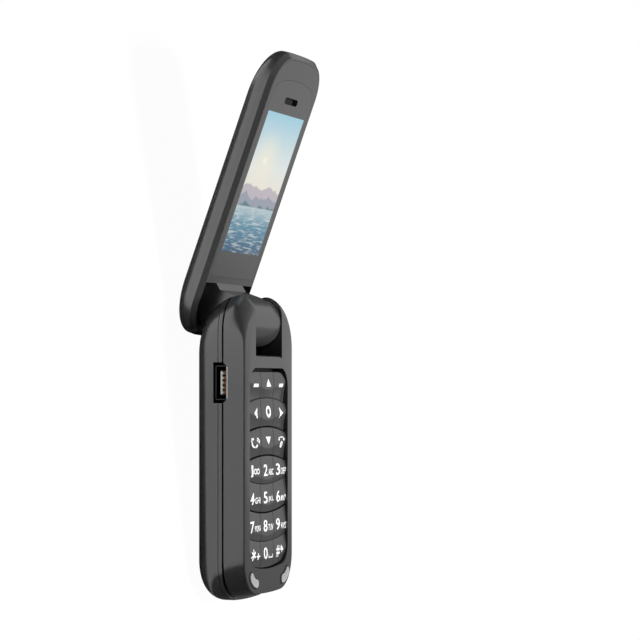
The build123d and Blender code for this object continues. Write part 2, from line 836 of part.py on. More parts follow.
plate_top_z = lid_z + plate_thickness
neck_root = (barrel_radius * cos(radians(neck_root_angle)), barrel_radius * sin(radians(neck_root_angle)))
neck_profile = [
    (-barrel_radius, 0),
    (-barrel_radius, lid_z - neck_lean_height),
    (-axis_to_plate - lip_gap, lid_z),
    (-axis_to_plate - wall, lid_z),
    (-axis_to_plate - wall, lid_z + end_wall_height),
    (-neck_roof_half, lid_z + neck_roof_height),
    (neck_roof_half, lid_z + neck_heel_height),
    (neck_heel, lid_z),
    neck_root,
    (0, 0),
]

with BuildPart() as lid_inner_cover:
    extrude(lid_plan(lid_z, 0, wall + plate_gap), amount=plate_thickness)
    slab((-half_width, half_width), (-axis_to_plate, axis_to_lid_heel), (lid_z, plate_top_z), Mode.SUBTRACT)
    slab(
        (-end_wall_half, end_wall_half),
        (-axis_to_plate - wall, -axis_to_plate),
        (plate_top_z, lid_z + end_wall_height),
    )
    side_profile(-barrel_end, barrel_end, neck_profile)
    rod(barrel_radius, -barrel_end, barrel_end)
    extrude(lens_outline(lid_z, lens_gap), amount=lens_thickness + lens_gap, mode=Mode.SUBTRACT)
    extrude(screen_rectangle(lid_z, screen_border), amount=plate_thickness, mode=Mode.SUBTRACT)
    extrude(ear_slot(lid_z), amount=plate_thickness, mode=Mode.SUBTRACT)
    rod(pin_radius + running_gap, -barrel_end, -barrel_end + pin_reach + running_gap, Mode.SUBTRACT)
    rod(flex_roll_radius + lip_gap, -barrel_end, 0, Mode.SUBTRACT)
    rod(cartridge_radius, barrel_end - cartridge_length, barrel_end, Mode.SUBTRACT)
keep(lid_inner_cover.part, "lid_inner_cover", "gray", in_lid=True)

with BuildPart() as screen_window:
    extrude(lens_outline(lid_z, 0), amount=lens_thickness)
    extrude(ear_slot(lid_z), amount=lens_thickness, mode=Mode.SUBTRACT)
keep(screen_window.part, "screen_window", "black", in_lid=True)

with BuildPart() as display_module:
    extrude(screen_rectangle(plate_top_z + stack_gap, display_border), amount=display_thickness)
keep(display_module.part, "display_module", "silver", in_lid=True)

with BuildPart() as lid_board:
    lid_board_z = plate_top_z + display_thickness + 2 * stack_gap
    slab(
        (-lid_board_width / 2, lid_board_width / 2),
        (-lid_board_start - lid_board_length, -lid_board_start),
        (lid_board_z, lid_board_z + lid_board_thickness),
    )
keep(lid_board.part, "lid_board", "darkgreen", in_lid=True)

with BuildPart() as earpiece:
    slab(
        (-earpiece_length / 2, earpiece_length / 2),
        (-ear_slot_at - earpiece_width / 2, -ear_slot_at + earpiece_width / 2),
        (plate_top_z, plate_top_z + earpiece_height),
    )
    fillet(earpiece.edges().filter_by(Axis.Z), earpiece_width / 4)
keep(earpiece.part, "earpiece", "black", in_lid=True)

with BuildPart() as earpiece_mesh:
    extrude(ear_slot(plate_top_z - ear_mesh_thickness - lens_gap, -lens_gap), amount=ear_mesh_thickness)
keep(earpiece_mesh.part, "earpiece_mesh", "silver", in_lid=True)

# ================================================================ how the open phone lies
heel_steps = 200
halvings = 40


def heel_corner(draw_in):
    """A point of the lid's side view near its heel, when the lid is open."""
    y = axis_to_lid_heel - lid_heel_ratio * draw_in
    z = lid_z + lid_height(draw_in)
    turn = radians(-opening_angle)
    return y * cos(turn) - z * sin(turn), y * sin(turn) + z * cos(turn)


heel = [heel_corner(lid_edge_round * i / heel_steps) for i in range(heel_steps + 1)]
end_centre = (-axis_to_base_bottom + back_bottom_round, back_z + back_bottom_round)


def lowest(angle):
    """Heights of the lowest points of the lid's heel and of the base's end, at this tilt."""
    rise, upright = sin(radians(angle)), cos(radians(angle))
    heel_low = min(y * rise + z * upright for y, z in heel)
    end_low = end_centre[0] * rise + end_centre[1] * upright - back_bottom_round
    return heel_low, end_low


# The phone lies on the lid's heel and on the base's lower end: halve the tilt's range until both touch.
flat, steep = 0.0, 20.0
for _ in range(halvings):
    tilt = (flat + steep) / 2
    heel_low, end_low = lowest(tilt)
    if end_low > heel_low:
        flat = tilt
    else:
        steep = tilt

lid_swing = Location((0, 0, 0), (-opening_angle, 0, 0))
lie_down = Location((0, 0, 0), (tilt, 0, 0))
opened = {
    name: piece.moved(lie_down * lid_swing if name in lid_pieces else lie_down)
    for name, piece in pieces.items()
}
boxes = [piece.bounding_box() for piece in opened.values()]
middle_y = (min(b.min.Y for b in boxes) + max(b.max.Y for b in boxes)) / 2
lift = Location((0, -middle_y, -min(heel_low, end_low)))

os.makedirs("parts", exist_ok=True)
for name, piece in opened.items():
    placed = piece.moved(lift)
    placed.label = name
    export_step(placed, f"parts/{name}.step")

print("rest tilt", tilt, "hinge axis at y", -middle_y, "z", -min(heel_low, end_low))
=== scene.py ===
# %% [markdown]
# # A small flip phone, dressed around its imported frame
# The frame already holds every piece at its real size and place, so this lesson never moves one.
# It replaces the housings with smoother surfaces, gives each surface its finish, and prints the keys.

import json
from math import atan2, cos, pi, radians, sin

import bmesh
import bpy
import numpy as np
from mathutils import Matrix, Vector

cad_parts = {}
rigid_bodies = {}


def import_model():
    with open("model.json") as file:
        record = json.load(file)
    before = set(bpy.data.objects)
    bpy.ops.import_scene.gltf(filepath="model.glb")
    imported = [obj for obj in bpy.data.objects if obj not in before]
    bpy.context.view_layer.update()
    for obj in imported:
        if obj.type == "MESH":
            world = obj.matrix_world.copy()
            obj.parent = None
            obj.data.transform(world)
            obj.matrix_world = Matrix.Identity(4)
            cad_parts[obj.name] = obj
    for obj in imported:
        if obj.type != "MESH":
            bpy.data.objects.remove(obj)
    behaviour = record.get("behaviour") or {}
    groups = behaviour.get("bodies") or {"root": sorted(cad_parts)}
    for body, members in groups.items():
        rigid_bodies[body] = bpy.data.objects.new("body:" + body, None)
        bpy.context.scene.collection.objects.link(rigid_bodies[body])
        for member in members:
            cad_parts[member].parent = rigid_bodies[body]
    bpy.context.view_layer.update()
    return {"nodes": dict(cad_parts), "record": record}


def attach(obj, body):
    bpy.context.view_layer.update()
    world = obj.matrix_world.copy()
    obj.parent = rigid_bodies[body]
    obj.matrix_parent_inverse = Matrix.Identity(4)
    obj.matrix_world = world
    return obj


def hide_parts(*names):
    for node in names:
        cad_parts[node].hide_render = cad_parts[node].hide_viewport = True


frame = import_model()
nodes = frame["nodes"]
print("nodes in the frame:", len(nodes))

# %% [markdown]
# ## Two drawing boards
# The phone is drawn with its lid shut, in millimetres about the middle of the hinge axis: +X across,
# +Y towards the hinge end, +Z out of the keypad. The open phone lies on a table, tilted a little.
# The lid hinge's place and a key's stroke, both kept in the record, say how to get from one to the other.

# %% Where the two boards lie
MM = 0.001
joints = {j["name"]: j for j in frame["record"]["behaviour"]["joints"]}
hinge = np.array(joints["lid_hinge"]["pos_m"])
stroke = joints["key_ok_press"]["axis"]
rest_tilt = atan2(stroke[1], -stroke[2])
opening = radians(joints["lid_hinge"]["range_deg"][1])


def turned(points, angle):
    """Points turned about X by this angle, as y cos - z sin and y sin + z cos."""
    x, y, z = np.asarray(points, float).T
    return np.stack([x, y * cos(angle) - z * sin(angle), y * sin(angle) + z * cos(angle)], axis=1)


def on_base(points):
    """From the drawing to the keypad half as it lies, in metres."""
    return turned(points, rest_tilt) * MM + hinge


def on_lid(points):
    """From the drawing to the opened lid, in metres."""
    return turned(points, rest_tilt - opening) * MM + hinge


boards = {"base": on_base, "lid": on_lid}
print("rest tilt", round(rest_tilt * 180 / pi, 2), "degrees")

# %% [markdown]
# ## The camera
# The camera looks at the keypad half's left side from slightly in front, and holds the phone upright
# in its view. Its three directions are written for the drawing and turned with the phone.

# %% Camera
view_turn = radians(71.05)
view_distance = 589.6
view_side = 22.48
view_centre = np.array([0.0, -14.6, -5.85])
lens_mm = 146.9
picture_shift = 0.1044

camera_back = np.array([-sin(view_turn), 0.0, cos(view_turn)])
camera_right = np.array([cos(view_turn), 0.0, sin(view_turn)])
camera_up = np.array([0.0, 1.0, 0.0])
axes = turned([camera_right, camera_up, camera_back], rest_tilt)
place = on_base([camera_back * view_distance + camera_right * view_side + view_centre])[0]

camera_data = bpy.data.cameras.new("studio_camera")
camera_data.lens = lens_mm
camera_data.sensor_width = 36.0
camera_data.shift_y = picture_shift
camera_data.clip_start = 0.01
camera = bpy.data.objects.new("studio_camera", camera_data)
camera.matrix_world = Matrix.Translation(Vector(place)) @ Matrix(axes.T.tolist()).to_4x4()
bpy.context.scene.collection.objects.link(camera)
bpy.context.scene.camera = camera
print("camera at", np.round(place, 3))

# %% [markdown]
# ## A pale studio
# One pale floor, a soft world, and a few large lamps. Only the camera sees the floor as white paper.
# To every other ray it is a pale card beside the phone, on a dark table, lit by the same lamps, and
# that is what the glossy plastic mirrors. Beyond Y -0.012 m the card is painted brighter: a painted
# pool of light, which the phone's sides mirror.

# %% Floor
scene = bpy.context.scene
scene.view_settings.view_transform = "Standard"
floor_reach = 3.0
floor_mesh = bpy.data.meshes.new("floor")
corners = np.array([(-1, -1, 0), (1, -1, 0), (1, 1, 0), (-1, 1, 0)]) * floor_reach
floor_mesh.from_pydata(corners.tolist(), [], [(0, 1, 2, 3)])
floor = bpy.data.objects.new("floor", floor_mesh)
scene.collection.objects.link(floor)
print("floor reaches", floor_reach, "m each way")


# %% Adding shader nodes
def new_material(name):
    """An empty material, its node tree, and its output node."""
    material = bpy.data.materials.new(name)
    material.use_nodes = True
    tree = material.node_tree
    tree.nodes.clear()
    output = tree.nodes.new("ShaderNodeOutputMaterial")
    return material, tree, output


def node(tree, kind, inputs=None, **settings):
    """Adds a node, sets its properties, and sets or links its inputs."""
    made = tree.nodes.new(kind)
    for key, value in settings.items():
        setattr(made, key, value)
    for key, value in (inputs or {}).items():
        if isinstance(value, bpy.types.NodeSocket):
            tree.links.new(value, made.inputs[key])
        else:
            made.inputs[key].default_value = value
    return made


def math_node(tree, operation, *values):
    """One step of arithmetic on two or three values, by its output socket."""
    return node(tree, "ShaderNodeMath", dict(enumerate(values)), operation=operation).outputs[0]


# %% The floor's material
# Beyond Y -0.012 m the card is painted brighter: a painted pool of light for the phone's sides to mirror.
card_end_y, card_end_x, card_fade = -0.0602, 0.0, 0.001
card_shade, painted_light_shade, table_shade, paper_shade = 0.72, 0.95, 0.05, 0.82
painted_light_from_y, painted_light_fade = -0.012, 0.018
camera_white = 0.97


def floor_material():
    """Plain white paper for the camera. The gloss sees a pale card left of the phone, on a darker table, with
    a painted pool of light on the card beyond Y -0.012 m.
    """
    material, tree, output = new_material("pale_floor")
    path = node(tree, "ShaderNodeLightPath")
    spot = node(tree, "ShaderNodeTexCoord")
    split = node(tree, "ShaderNodeSeparateXYZ", {0: spot.outputs["Object"]})
    inside = []
    for axis, start, stop in (
        ("Y", card_end_y, card_end_y + card_fade),
        ("X", card_end_x, card_end_x - card_fade),
    ):
        ramp = {"Value": split.outputs[axis], "From Min": start, "From Max": stop}
        inside.append(node(tree, "ShaderNodeMapRange", ramp).outputs[0])
    on_card = math_node(tree, "MULTIPLY", *inside)
    # The card's painted pool of light: brighter along +Y, from Y -0.012 m on.
    ramp = {"Value": split.outputs["Y"], "From Min": painted_light_from_y, "From Max": painted_light_from_y + painted_light_fade}
    card = node(tree, "ShaderNodeMapRange", {**ramp, "To Min": card_shade, "To Max": painted_light_shade})
    ramp = {"Value": on_card, "To Min": table_shade, "To Max": card.outputs[0]}
    table = node(tree, "ShaderNodeMapRange", ramp)
    seen = {"Factor": path.outputs["Is Camera Ray"], "A": table.outputs[0], "B": paper_shade}
    shade = node(tree, "ShaderNodeMix", seen)
    lit = node(tree, "ShaderNodeBsdfDiffuse", {"Color": shade.outputs[0]})
    white = node(tree, "ShaderNodeEmission", {"Color": (1, 1, 1, 1), "Strength": 1.0})
    share = math_node(tree, "MULTIPLY", path.outputs["Is Camera Ray"], camera_white)
    both = node(tree, "ShaderNodeMixShader", {0: share, 1: lit.outputs[0], 2: white.outputs[0]})
    tree.links.new(both.outputs[0], output.inputs["Surface"])
    return material


floor_mesh.materials.append(floor_material())

# %% World and lamps
world_strength = 0.12
world = bpy.data.worlds.new("studio")
scene.world = world
world.use_nodes = True
around = world.node_tree.nodes["Background"]
around.inputs["Color"].default_value = (1, 1, 1, 1)
around.inputs["Strength"].default_value = world_strength


def lamp(name, place, target, size, watts):
    """A soft box at a place, in metres, turned to its target."""
    data = bpy.data.lights.new(name, "AREA")
    data.shape = "RECTANGLE"
    data.size, data.size_y = size
    data.energy = watts
    made = bpy.data.objects.new(name, data)
    made.location = place
    made.rotation_mode = "QUATERNION"
    made.rotation_quaternion = (Vector(target) - Vector(place)).to_track_quat("-Z", "Y")
    scene.collection.objects.link(made)
    return made


key_lamp = lamp("key_softbox", (0.25, -0.1, 0.75), (0, 0, 0), (0.18, 0.18), 9.5)
key_lamp.visible_glossy = False
lamp("right_panel", (0.36, 0.062, 0.125), (0, 0.062, 0.125), (0.26, 0.16), 0.048)
lamp("far_right_panel", (0.36, 0.17, 0.11), (0, 0.17, 0.11), (0.2, 0.13), 0.03)

# %% [markdown]
# ## Reading sizes off the frame
# A node's mesh lies in place, in metres. Turned back to the drawing it gives plain sizes in
# millimetres, so the new surfaces follow the frame and never need fitting by eye.

# %% A node's box on the drawing
def drawn_points(name, board):
    """A node's vertices on the drawing: the way to the table, taken backwards."""
    mesh = nodes[name].data
    points = np.empty(len(mesh.vertices) * 3)
    mesh.vertices.foreach_get("co", points)
    angle = rest_tilt if board == "base" else rest_tilt - opening
    return turned((points.reshape(-1, 3) - hinge) / MM, -angle)


def drawn_box(name, board):
    """A node's lowest and highest corner on the drawing, in millimetres."""
    points = drawn_points(name, board)
    return points.min(axis=0), points.max(axis=0)


cover_lo, cover_hi = drawn_box("rear_cover", "base")
lid_lo, lid_hi = drawn_box("lid_outer_cover", "lid")
half_width = float(cover_hi[0])
back_z, cover_rim_z = float(cover_lo[2]), float(cover_hi[2])
shell_points = drawn_points("front_shell", "base")
outer_wall = shell_points[:, 0] > shell_points[:, 0].max() - 0.05
shell_z, face_z = float(shell_points[outer_wall, 2].min()), float(shell_points[:, 2].max())
base_bottom = float(cover_lo[1])
lid_z = float(lid_lo[2])
lid_heel, lid_tip = float(lid_hi[1]), float(lid_lo[1])
print("half width", round(half_width, 2), "face at", round(face_z, 2), "lid from", round(lid_tip, 2))

# %% [markdown]
# ## Rings, and solids made of rings
# Both halves of the phone are oblongs with crowned ends and round corners that draw in towards the
# back and the front. Each is a stack of such outlines. All have as many points in the same order, so
# quads join them into one smooth skin, and an n-gon closes each end.

# %% The plan of a half, as one ring of points
base_top = 6.2
end_crown = 0.8
corner_radius = 8.0
END_STEPS, CORNER_STEPS, SIDE_STEPS = 8, 16, 16


def quarter(half, reach, radius):
    """A crowned end from its middle, and the corner arc tangent to it and to the straight side."""
    crown = end_crown * min(1.0, half / half_width)
    big = (half**2 + crown**2) / (2 * crown)
    end_y = reach - big
    x0 = half - radius
    y0 = end_y + np.sqrt((big - radius) ** 2 - x0**2)
    lean = np.arctan2(x0, y0 - end_y)
    a = np.linspace(0, lean, END_STEPS, endpoint=False)
    b = np.linspace(lean, pi / 2, CORNER_STEPS)
    x = np.concatenate([big * np.sin(a), x0 + radius * np.sin(b)])
    y = np.concatenate([end_y + big * np.cos(a), y0 + radius * np.cos(b)])
    return x, y


def plan_ring(z, half, top, bottom, radius):
    """The whole outline at height z: a right half from four arcs and a side, and its mirror image."""
    top_x, top_y = quarter(half, top, radius)
    low_x, low_y = quarter(half, -bottom, radius)
    side_y = np.linspace(top_y[-1], -low_y[-1], SIDE_STEPS + 2)[1:-1]
    x = np.concatenate([top_x, np.full(SIDE_STEPS, half), low_x[::-1]])
    y = np.concatenate([top_y, side_y, -low_y[::-1]])
    x = np.concatenate([x, -x[-2:0:-1]])
    y = np.concatenate([y, y[-2:0:-1]])
    return np.stack([x, y, np.full(len(x), z)], axis=1)


def ring_faces(count, around):
    """Quads between count rings of points, and an n-gon on the first and the last ring."""
    i, j = np.meshgrid(np.arange(count - 1), np.arange(around), indexing="ij")
    following = (j + 1) % around
    this_ring, next_ring = i * around, (i + 1) * around
    quads = [this_ring + j, this_ring + following, next_ring + following, next_ring + j]
    faces = np.stack(quads, axis=2).reshape(-1, 4).tolist()
    faces.append(list(range(around))[::-1])
    faces.append(list(range((count - 1) * around, count * around)))
    return faces


def make_mesh(name, points, faces):
    """A mesh in the drawing's millimetres, with its faces turned outwards."""
    mesh = bpy.data.meshes.new(name)
    mesh.from_pydata(np.asarray(points).tolist(), [], faces)
    shape = bmesh.new()
    shape.from_mesh(mesh)
    bmesh.ops.recalc_face_normals(shape, faces=shape.faces)
    shape.to_mesh(mesh)
    shape.free()
    return mesh


def ring_solid(name, rings):
    """A closed solid from a stack of rings."""
    rings = np.asarray(rings)
    return make_mesh(name, rings.reshape(-1, 3), ring_faces(len(rings), rings.shape[1]))


def joined(name, meshes):
    """One mesh that holds all of these, one after the other."""
    whole = bmesh.new()
    for mesh in meshes:
        whole.from_mesh(mesh)
    made = bpy.data.meshes.new(name)
    whole.to_mesh(made)
    whole.free()
    return made


# %% [markdown]
# ## Cutting holes
# A hole through a moulded shell is a closed cutter taken away by a Boolean. The cut is applied at
# once, so what is left is one plain mesh.

# %% Cutters and cuts
overcut = 0.1
far_off = 20.0


def prism(name, outline, low, high, along="z"):
    """A straight-sided cutter: an outline of pairs, carried from low to high along an axis."""
    outline = np.asarray(outline, float)
    rings = []
    for end in (low, high):
        flat = np.full(len(outline), end)
        if along == "z":
            rings.append(np.stack([outline[:, 0], outline[:, 1], flat], axis=1))
        else:
            rings.append(np.stack([flat, outline[:, 0], outline[:, 1]], axis=1))
    return ring_solid(name, rings)


def cut(mesh, cutters):
    """The mesh with each cutter's solid taken away."""
    work = bpy.data.objects.new("work", mesh)
    scene.collection.objects.link(work)
    for cutter in cutters:
        knife = bpy.data.objects.new("knife", cutter)
        scene.collection.objects.link(knife)
        knife.hide_render = True
        step = work.modifiers.new("cut", "BOOLEAN")
        step.operation = "DIFFERENCE"
        step.solver = "EXACT"
        step.object = knife
    depsgraph = bpy.context.evaluated_depsgraph_get()
    made = bpy.data.meshes.new_from_object(work.evaluated_get(depsgraph))
    for cutter in cutters:
        bpy.data.objects.remove(next(o for o in scene.objects if o.data == cutter))
    bpy.data.objects.remove(work)
    return made


def box_outline(x, y):
    """The four corners of a rectangle between two X and two Y places."""
    return [(x[0], y[0]), (x[1], y[0]), (x[1], y[1]), (x[0], y[1])]


def round_outline(half_x, half_y, radius, centre=(0.0, 0.0), steps=10):
    """A rectangle with round corners: four quarter circles one after the other."""
    a = np.linspace(0, pi / 2, steps)
    turns = np.concatenate([a + k * pi / 2 for k in range(4)])
    side_x = np.repeat([1, -1, -1, 1], steps) * (half_x - radius)
    side_y = np.repeat([1, 1, -1, -1], steps) * (half_y - radius)
    x = centre[0] + side_x + radius * np.cos(turns)
    y = centre[1] + side_y + radius * np.sin(turns)
    return np.stack([x, y], axis=1)


# %% A finished piece, in its place
SHARP = radians(32)


def piece(name, mesh, board, material, stands_for=(), body=None, smooth=True):
    """Puts a drawn mesh on its half of the phone, shades it, and makes it ride there."""
    points = np.empty(len(mesh.vertices) * 3)
    mesh.vertices.foreach_get("co", points)
    mesh.vertices.foreach_set("co", boards[board](points.reshape(-1, 3)).ravel())
    mesh.polygons.foreach_set("use_smooth", np.full(len(mesh.polygons), smooth))
    if smooth:
        mesh.set_sharp_from_angle(angle=SHARP)
    mesh.materials.clear()
    mesh.materials.append(material)
    mesh.update()
    made = bpy.data.objects.new(name, mesh)
    scene.collection.objects.link(made)
    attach(made, body or board)
    if stands_for:
        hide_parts(*stands_for)
    print(name, "faces:", len(mesh.polygons))
    return made


# %% [markdown]
# ## Plain moulded finishes
# Every housing is smooth graphite-coloured plastic with a metallic sheen. The shared group gives it a
# fine grain, too small to see as bumps, which only softens what it mirrors, and a faint unevenness.

# %% Shared group: moulded plastic
grain_depth, unevenness_scale = 0.00002, 90.0


def empty_group(name, inputs, outputs):
    """An empty node group with named sockets."""
    group = bpy.data.node_groups.new(name, "ShaderNodeTree")
    for socket, kind, value in inputs:
        made = group.interface.new_socket(socket, in_out="INPUT", socket_type=kind)
        made.default_value = value
    for socket, kind in outputs:
        group.interface.new_socket(socket, in_out="OUTPUT", socket_type=kind)
    return group, group.nodes.new("NodeGroupInput"), group.nodes.new("NodeGroupOutput")


def moulded_group():
    """Fine grain as a bump, broad unevenness in colour and gloss."""
    group, into, out = empty_group(
        "moulded_plastic",
        [
            ("Color", "NodeSocketColor", (0.1, 0.1, 0.1, 1)),
            ("Roughness", "NodeSocketFloat", 0.3),
            ("Grain Size", "NodeSocketFloat", 9000.0),
            ("Grain Height", "NodeSocketFloat", 0.1),
            ("Unevenness", "NodeSocketFloat", 0.05),
        ],
        [("Color", "NodeSocketColor"), ("Roughness", "NodeSocketFloat"), ("Normal", "NodeSocketVector")],
    )
    spot = node(group, "ShaderNodeTexCoord").outputs["Object"]
    grain = {"Vector": spot, "Scale": into.outputs["Grain Size"], "Detail": 2.0}
    grain = node(group, "ShaderNodeTexNoise", grain)
    broad = {"Vector": spot, "Scale": unevenness_scale, "Detail": 3.0}
    broad = node(group, "ShaderNodeTexNoise", broad)
    bump = {"Height": grain.outputs["Fac"], "Strength": into.outputs["Grain Height"], "Distance": grain_depth}
    bump = node(group, "ShaderNodeBump", bump)
    swing = math_node(group, "SUBTRACT", broad.outputs["Fac"], 0.5)
    share = math_node(group, "MULTIPLY", swing, into.outputs["Unevenness"])
    gloss = math_node(group, "ADD", into.outputs["Roughness"], share)
    lift = math_node(group, "ADD", share, 1.0)
    tint = node(group, "ShaderNodeVectorMath", {0: into.outputs["Color"], "Scale": lift}, operation="SCALE")
    group.links.new(tint.outputs[0], out.inputs["Color"])
    group.links.new(gloss, out.inputs["Roughness"])
    group.links.new(bump.outputs[0], out.inputs["Normal"])
    return group


moulded = moulded_group()


def plastic(name, colour, roughness, metallic=0.0, coat=0.0, grain=0.1, size=9000.0, uneven=0.05):
    """A moulded plastic: the shared group feeding a plain shader."""
    material, tree, output = new_material(name)
    skin = node(
        tree,
        "ShaderNodeGroup",
        {
            "Color": (*colour, 1),
            "Roughness": roughness,
            "Grain Size": size,
            "Grain Height": grain,
            "Unevenness": uneven,
        },
        node_tree=moulded,
    )
    shader = node(
        tree,
        "ShaderNodeBsdfPrincipled",
        {
            "Base Color": skin.outputs["Color"],
            "Roughness": skin.outputs["Roughness"],
            "Normal": skin.outputs["Normal"],
            "Metallic": metallic,
            "Coat Weight": coat,
        },
    )
    tree.links.new(shader.outputs[0], output.inputs["Surface"])
    return material


# %% The finishes, and which node wears which
graphite = plastic("graphite_lacquer", (0.11, 0.11, 0.112), 0.2, metallic=0.6)
graphite_face = plastic("graphite_face", (0.11, 0.11, 0.112), 0.22, metallic=0.6)
key_plastic = plastic("key_plastic", (0.09, 0.09, 0.092), 0.25, metallic=0.5)
black_plastic = plastic("black_plastic", (0.012, 0.012, 0.013), 0.35)
pale_bumper = plastic("pale_bumper", (0.36, 0.36, 0.37), 0.22, coat=0.6)
steel = plastic("bright_steel", (0.62, 0.61, 0.6), 0.25, metallic=1.0, uneven=0.1)
gold = plastic("gold_plate", (0.55, 0.25, 0.05), 0.25, metallic=1.0, uneven=0.1)
white_print = plastic("white_print", (0.86, 0.86, 0.86), 0.5)
solder_mask = plastic("solder_mask", (0.02, 0.12, 0.05), 0.3)
battery_wrap = plastic("battery_wrap", (0.13, 0.14, 0.17), 0.55)
milky_silicone = plastic("milky_silicone", (0.6, 0.6, 0.6), 0.6)
amber_film = plastic("amber_film", (0.45, 0.18, 0.03), 0.25)

finish_of_slot = {
    "cover_plastic": graphite,
    # The inner frame is made black. Seen through the hinge notch, its black is painted shade in the pocket.
    "shell_plastic": graphite_face,
    "frame_plastic": black_plastic,
    "key_plastic": key_plastic,
    "bumper_rubber": pale_bumper,
    "screen_lens": black_plastic,
    "socket_steel": steel,
    "contact_gold": gold,
    "dark_plastic": black_plastic,
    "board_green": solder_mask,
    "battery_wrap": battery_wrap,
    "silicone": milky_silicone,
    "steel": steel,
    "flex_film": amber_film,
}
finish_of_node = {
    # The earpiece grille is made near black and rough, with a coarse grain.
    "earpiece_mesh": plastic("earpiece_near_black", (0.02, 0.02, 0.021), 0.7, grain=0.6, size=6000.0),
    # The keypad sheet is made black: painted shade in the gaps between the keys, where it shows.
    "keypad_sheet": plastic("black_sheet", (0.012, 0.012, 0.013), 0.6),
    # The port's shell is made near black: painted shade for the inside of the port.
    "usb_shell": plastic("painted_shade_shell", (0.03, 0.03, 0.032), 0.4, metallic=0.8),
}
slot_of = {s["node"]: s["material_slot"] for s in frame["record"]["subparts"]}
for name, made in nodes.items():
    made.data.materials.clear()
    made.data.materials.append(finish_of_node.get(name, finish_of_slot[slot_of[name]]))
print("finishes by slot:", len(finish_of_slot), "and for single nodes:", len(finish_of_node))

# %% [markdown]
# ## The screen
# The window is a thin grey-edged lens with a display behind it. Its mesh is right as it is, so only
# its material is made here. Object coordinates, taken back to the lid's own directions, say how far
# across and up the picture a point lies. The picture is drawn with them: a sky, a low sun, three ranges
# of hills and a lake, each by one rule on the height at that place.

# %% Picture coordinates on the lid
display_border = 0.9
display_lo, display_hi = drawn_box("display_module", "lid")
picture_lo, picture_hi = display_lo[:2] + display_border, display_hi[:2] - display_border
lid_x, lid_up = turned([(1, 0, 0), (0, -1, 0)], rest_tilt - opening)
picture_foot = on_lid([(picture_lo[0], picture_hi[1], 0.0)])[0]
picture_size = (picture_hi - picture_lo) * MM
print("picture, in metres:", np.round(picture_size, 4))


def ramp_node(tree, value, stops):
    """A colour ramp with these places and colours."""
    made = node(tree, "ShaderNodeValToRGB", {"Fac": value})
    while len(made.color_ramp.elements) < len(stops):
        made.color_ramp.elements.new(0.5)
    for element, (place, colour) in zip(made.color_ramp.elements, stops):
        element.position = place
        element.color = (*colour, 1)
    return made.outputs["Color"]


def mix_colours(tree, share, below, above):
    """From one colour to another by a share."""
    made = node(tree, "ShaderNodeMix", data_type="RGBA")
    for socket, value in ((made.inputs[0], share), (made.inputs[6], below), (made.inputs[7], above)):
        if isinstance(value, bpy.types.NodeSocket):
            tree.links.new(value, socket)
        else:
            socket.default_value = value
    return made.outputs[2]


def soft_step(tree, value, edge, width):
    """0 below an edge and 1 above it, through a short smooth ramp."""
    low = math_node(tree, "SUBTRACT", edge, width / 2)
    high = math_node(tree, "ADD", edge, width / 2)
    ramp = {"Value": value, "From Min": low, "From Max": high}
    return node(tree, "ShaderNodeMapRange", ramp, interpolation_type="SMOOTHSTEP").outputs[0]


def picture_place(tree):
    """How far across and up the picture a point lies, both from 0 to 1: dot(p - foot, way) / size."""
    spot = node(tree, "ShaderNodeTexCoord").outputs["Object"]
    away = node(tree, "ShaderNodeVectorMath", {0: spot, 1: tuple(picture_foot)}, operation="SUBTRACT")
    places = []
    for way, size in ((lid_x, picture_size[0]), (lid_up, picture_size[1])):
        along = {0: away.outputs[0], 1: tuple(way / size)}
        places.append(node(tree, "ShaderNodeVectorMath", along, operation="DOT_PRODUCT").outputs["Value"])
    return places


# %% The picture itself
sky_stops = [(0.38, (0.95, 0.84, 0.68)), (0.62, (0.83, 0.88, 0.85)), (1.0, (0.36, 0.66, 0.8))]
lake_stops = [(0.0, (0.03, 0.1, 0.19)), (0.2, (0.1, 0.28, 0.4)), (0.34, (0.5, 0.63, 0.66))]
hill_ranges = [
    (0.46, 0.1, 2.2, (0.55, 0.5, 0.55)),
    (0.40, 0.08, 3.1, (0.32, 0.36, 0.44)),
    (0.34, 0.05, 4.3, (0.1, 0.2, 0.24)),
]
shore_height = 0.33
picture_aspect = 1.7
sun_place, sun_radius, sun_colour = (0.34, 0.66), 0.045, (1.0, 0.98, 0.9, 1)
glow_radius, glow_strength, glow_colour = 0.4, 0.8, (1.0, 0.93, 0.74, 1)
hill_softness, shore_softness = 0.012, 0.01
range_shift = 7.3
ripple_scale, ripple_twist = (5.0, 34.0, 1.0), 0.6
glint_from, glint_to, glint_strength, glint_colour = 0.48, 0.72, 0.75, (0.82, 0.86, 0.82, 1)


def below_edge(tree, value, edge, width):
    """1 below an edge and 0 above it: one less the soft step."""
    return math_node(tree, "SUBTRACT", 1.0, soft_step(tree, value, edge, width))


def sky_and_sun(tree, up, flat):
    """A ramp up the sky, a glow that fades with the distance from the sun, and its disc."""
    colour = ramp_node(tree, up, sky_stops)
    sun = (sun_place[0], sun_place[1] * picture_aspect, 0.0)
    far = node(tree, "ShaderNodeVectorMath", {0: flat, 1: sun}, operation="DISTANCE").outputs["Value"]
    glow = {"Value": far, "From Max": glow_radius, "To Min": glow_strength, "To Max": 0.0}
    glow = node(tree, "ShaderNodeMapRange", glow)
    colour = mix_colours(tree, glow.outputs[0], colour, glow_colour)
    return mix_colours(tree, below_edge(tree, far, sun_radius, hill_softness), colour, sun_colour)


def hills(tree, across, up, colour):
    """Each range hides what is below its ridge: its middle height, plus or less a noise along it."""
    for number, (middle, swing, folds, shade) in enumerate(hill_ranges):
        along = math_node(tree, "MULTIPLY_ADD", across, folds, range_shift * number)
        ridge = {"W": along, "Scale": 1.0, "Detail": 4.0}
        ridge = node(tree, "ShaderNodeTexNoise", ridge, noise_dimensions="1D")
        height = math_node(tree, "MULTIPLY_ADD", ridge.outputs["Fac"], 2 * swing, middle - swing)
        colour = mix_colours(tree, below_edge(tree, up, height, hill_softness), colour, (*shade, 1))
    return colour


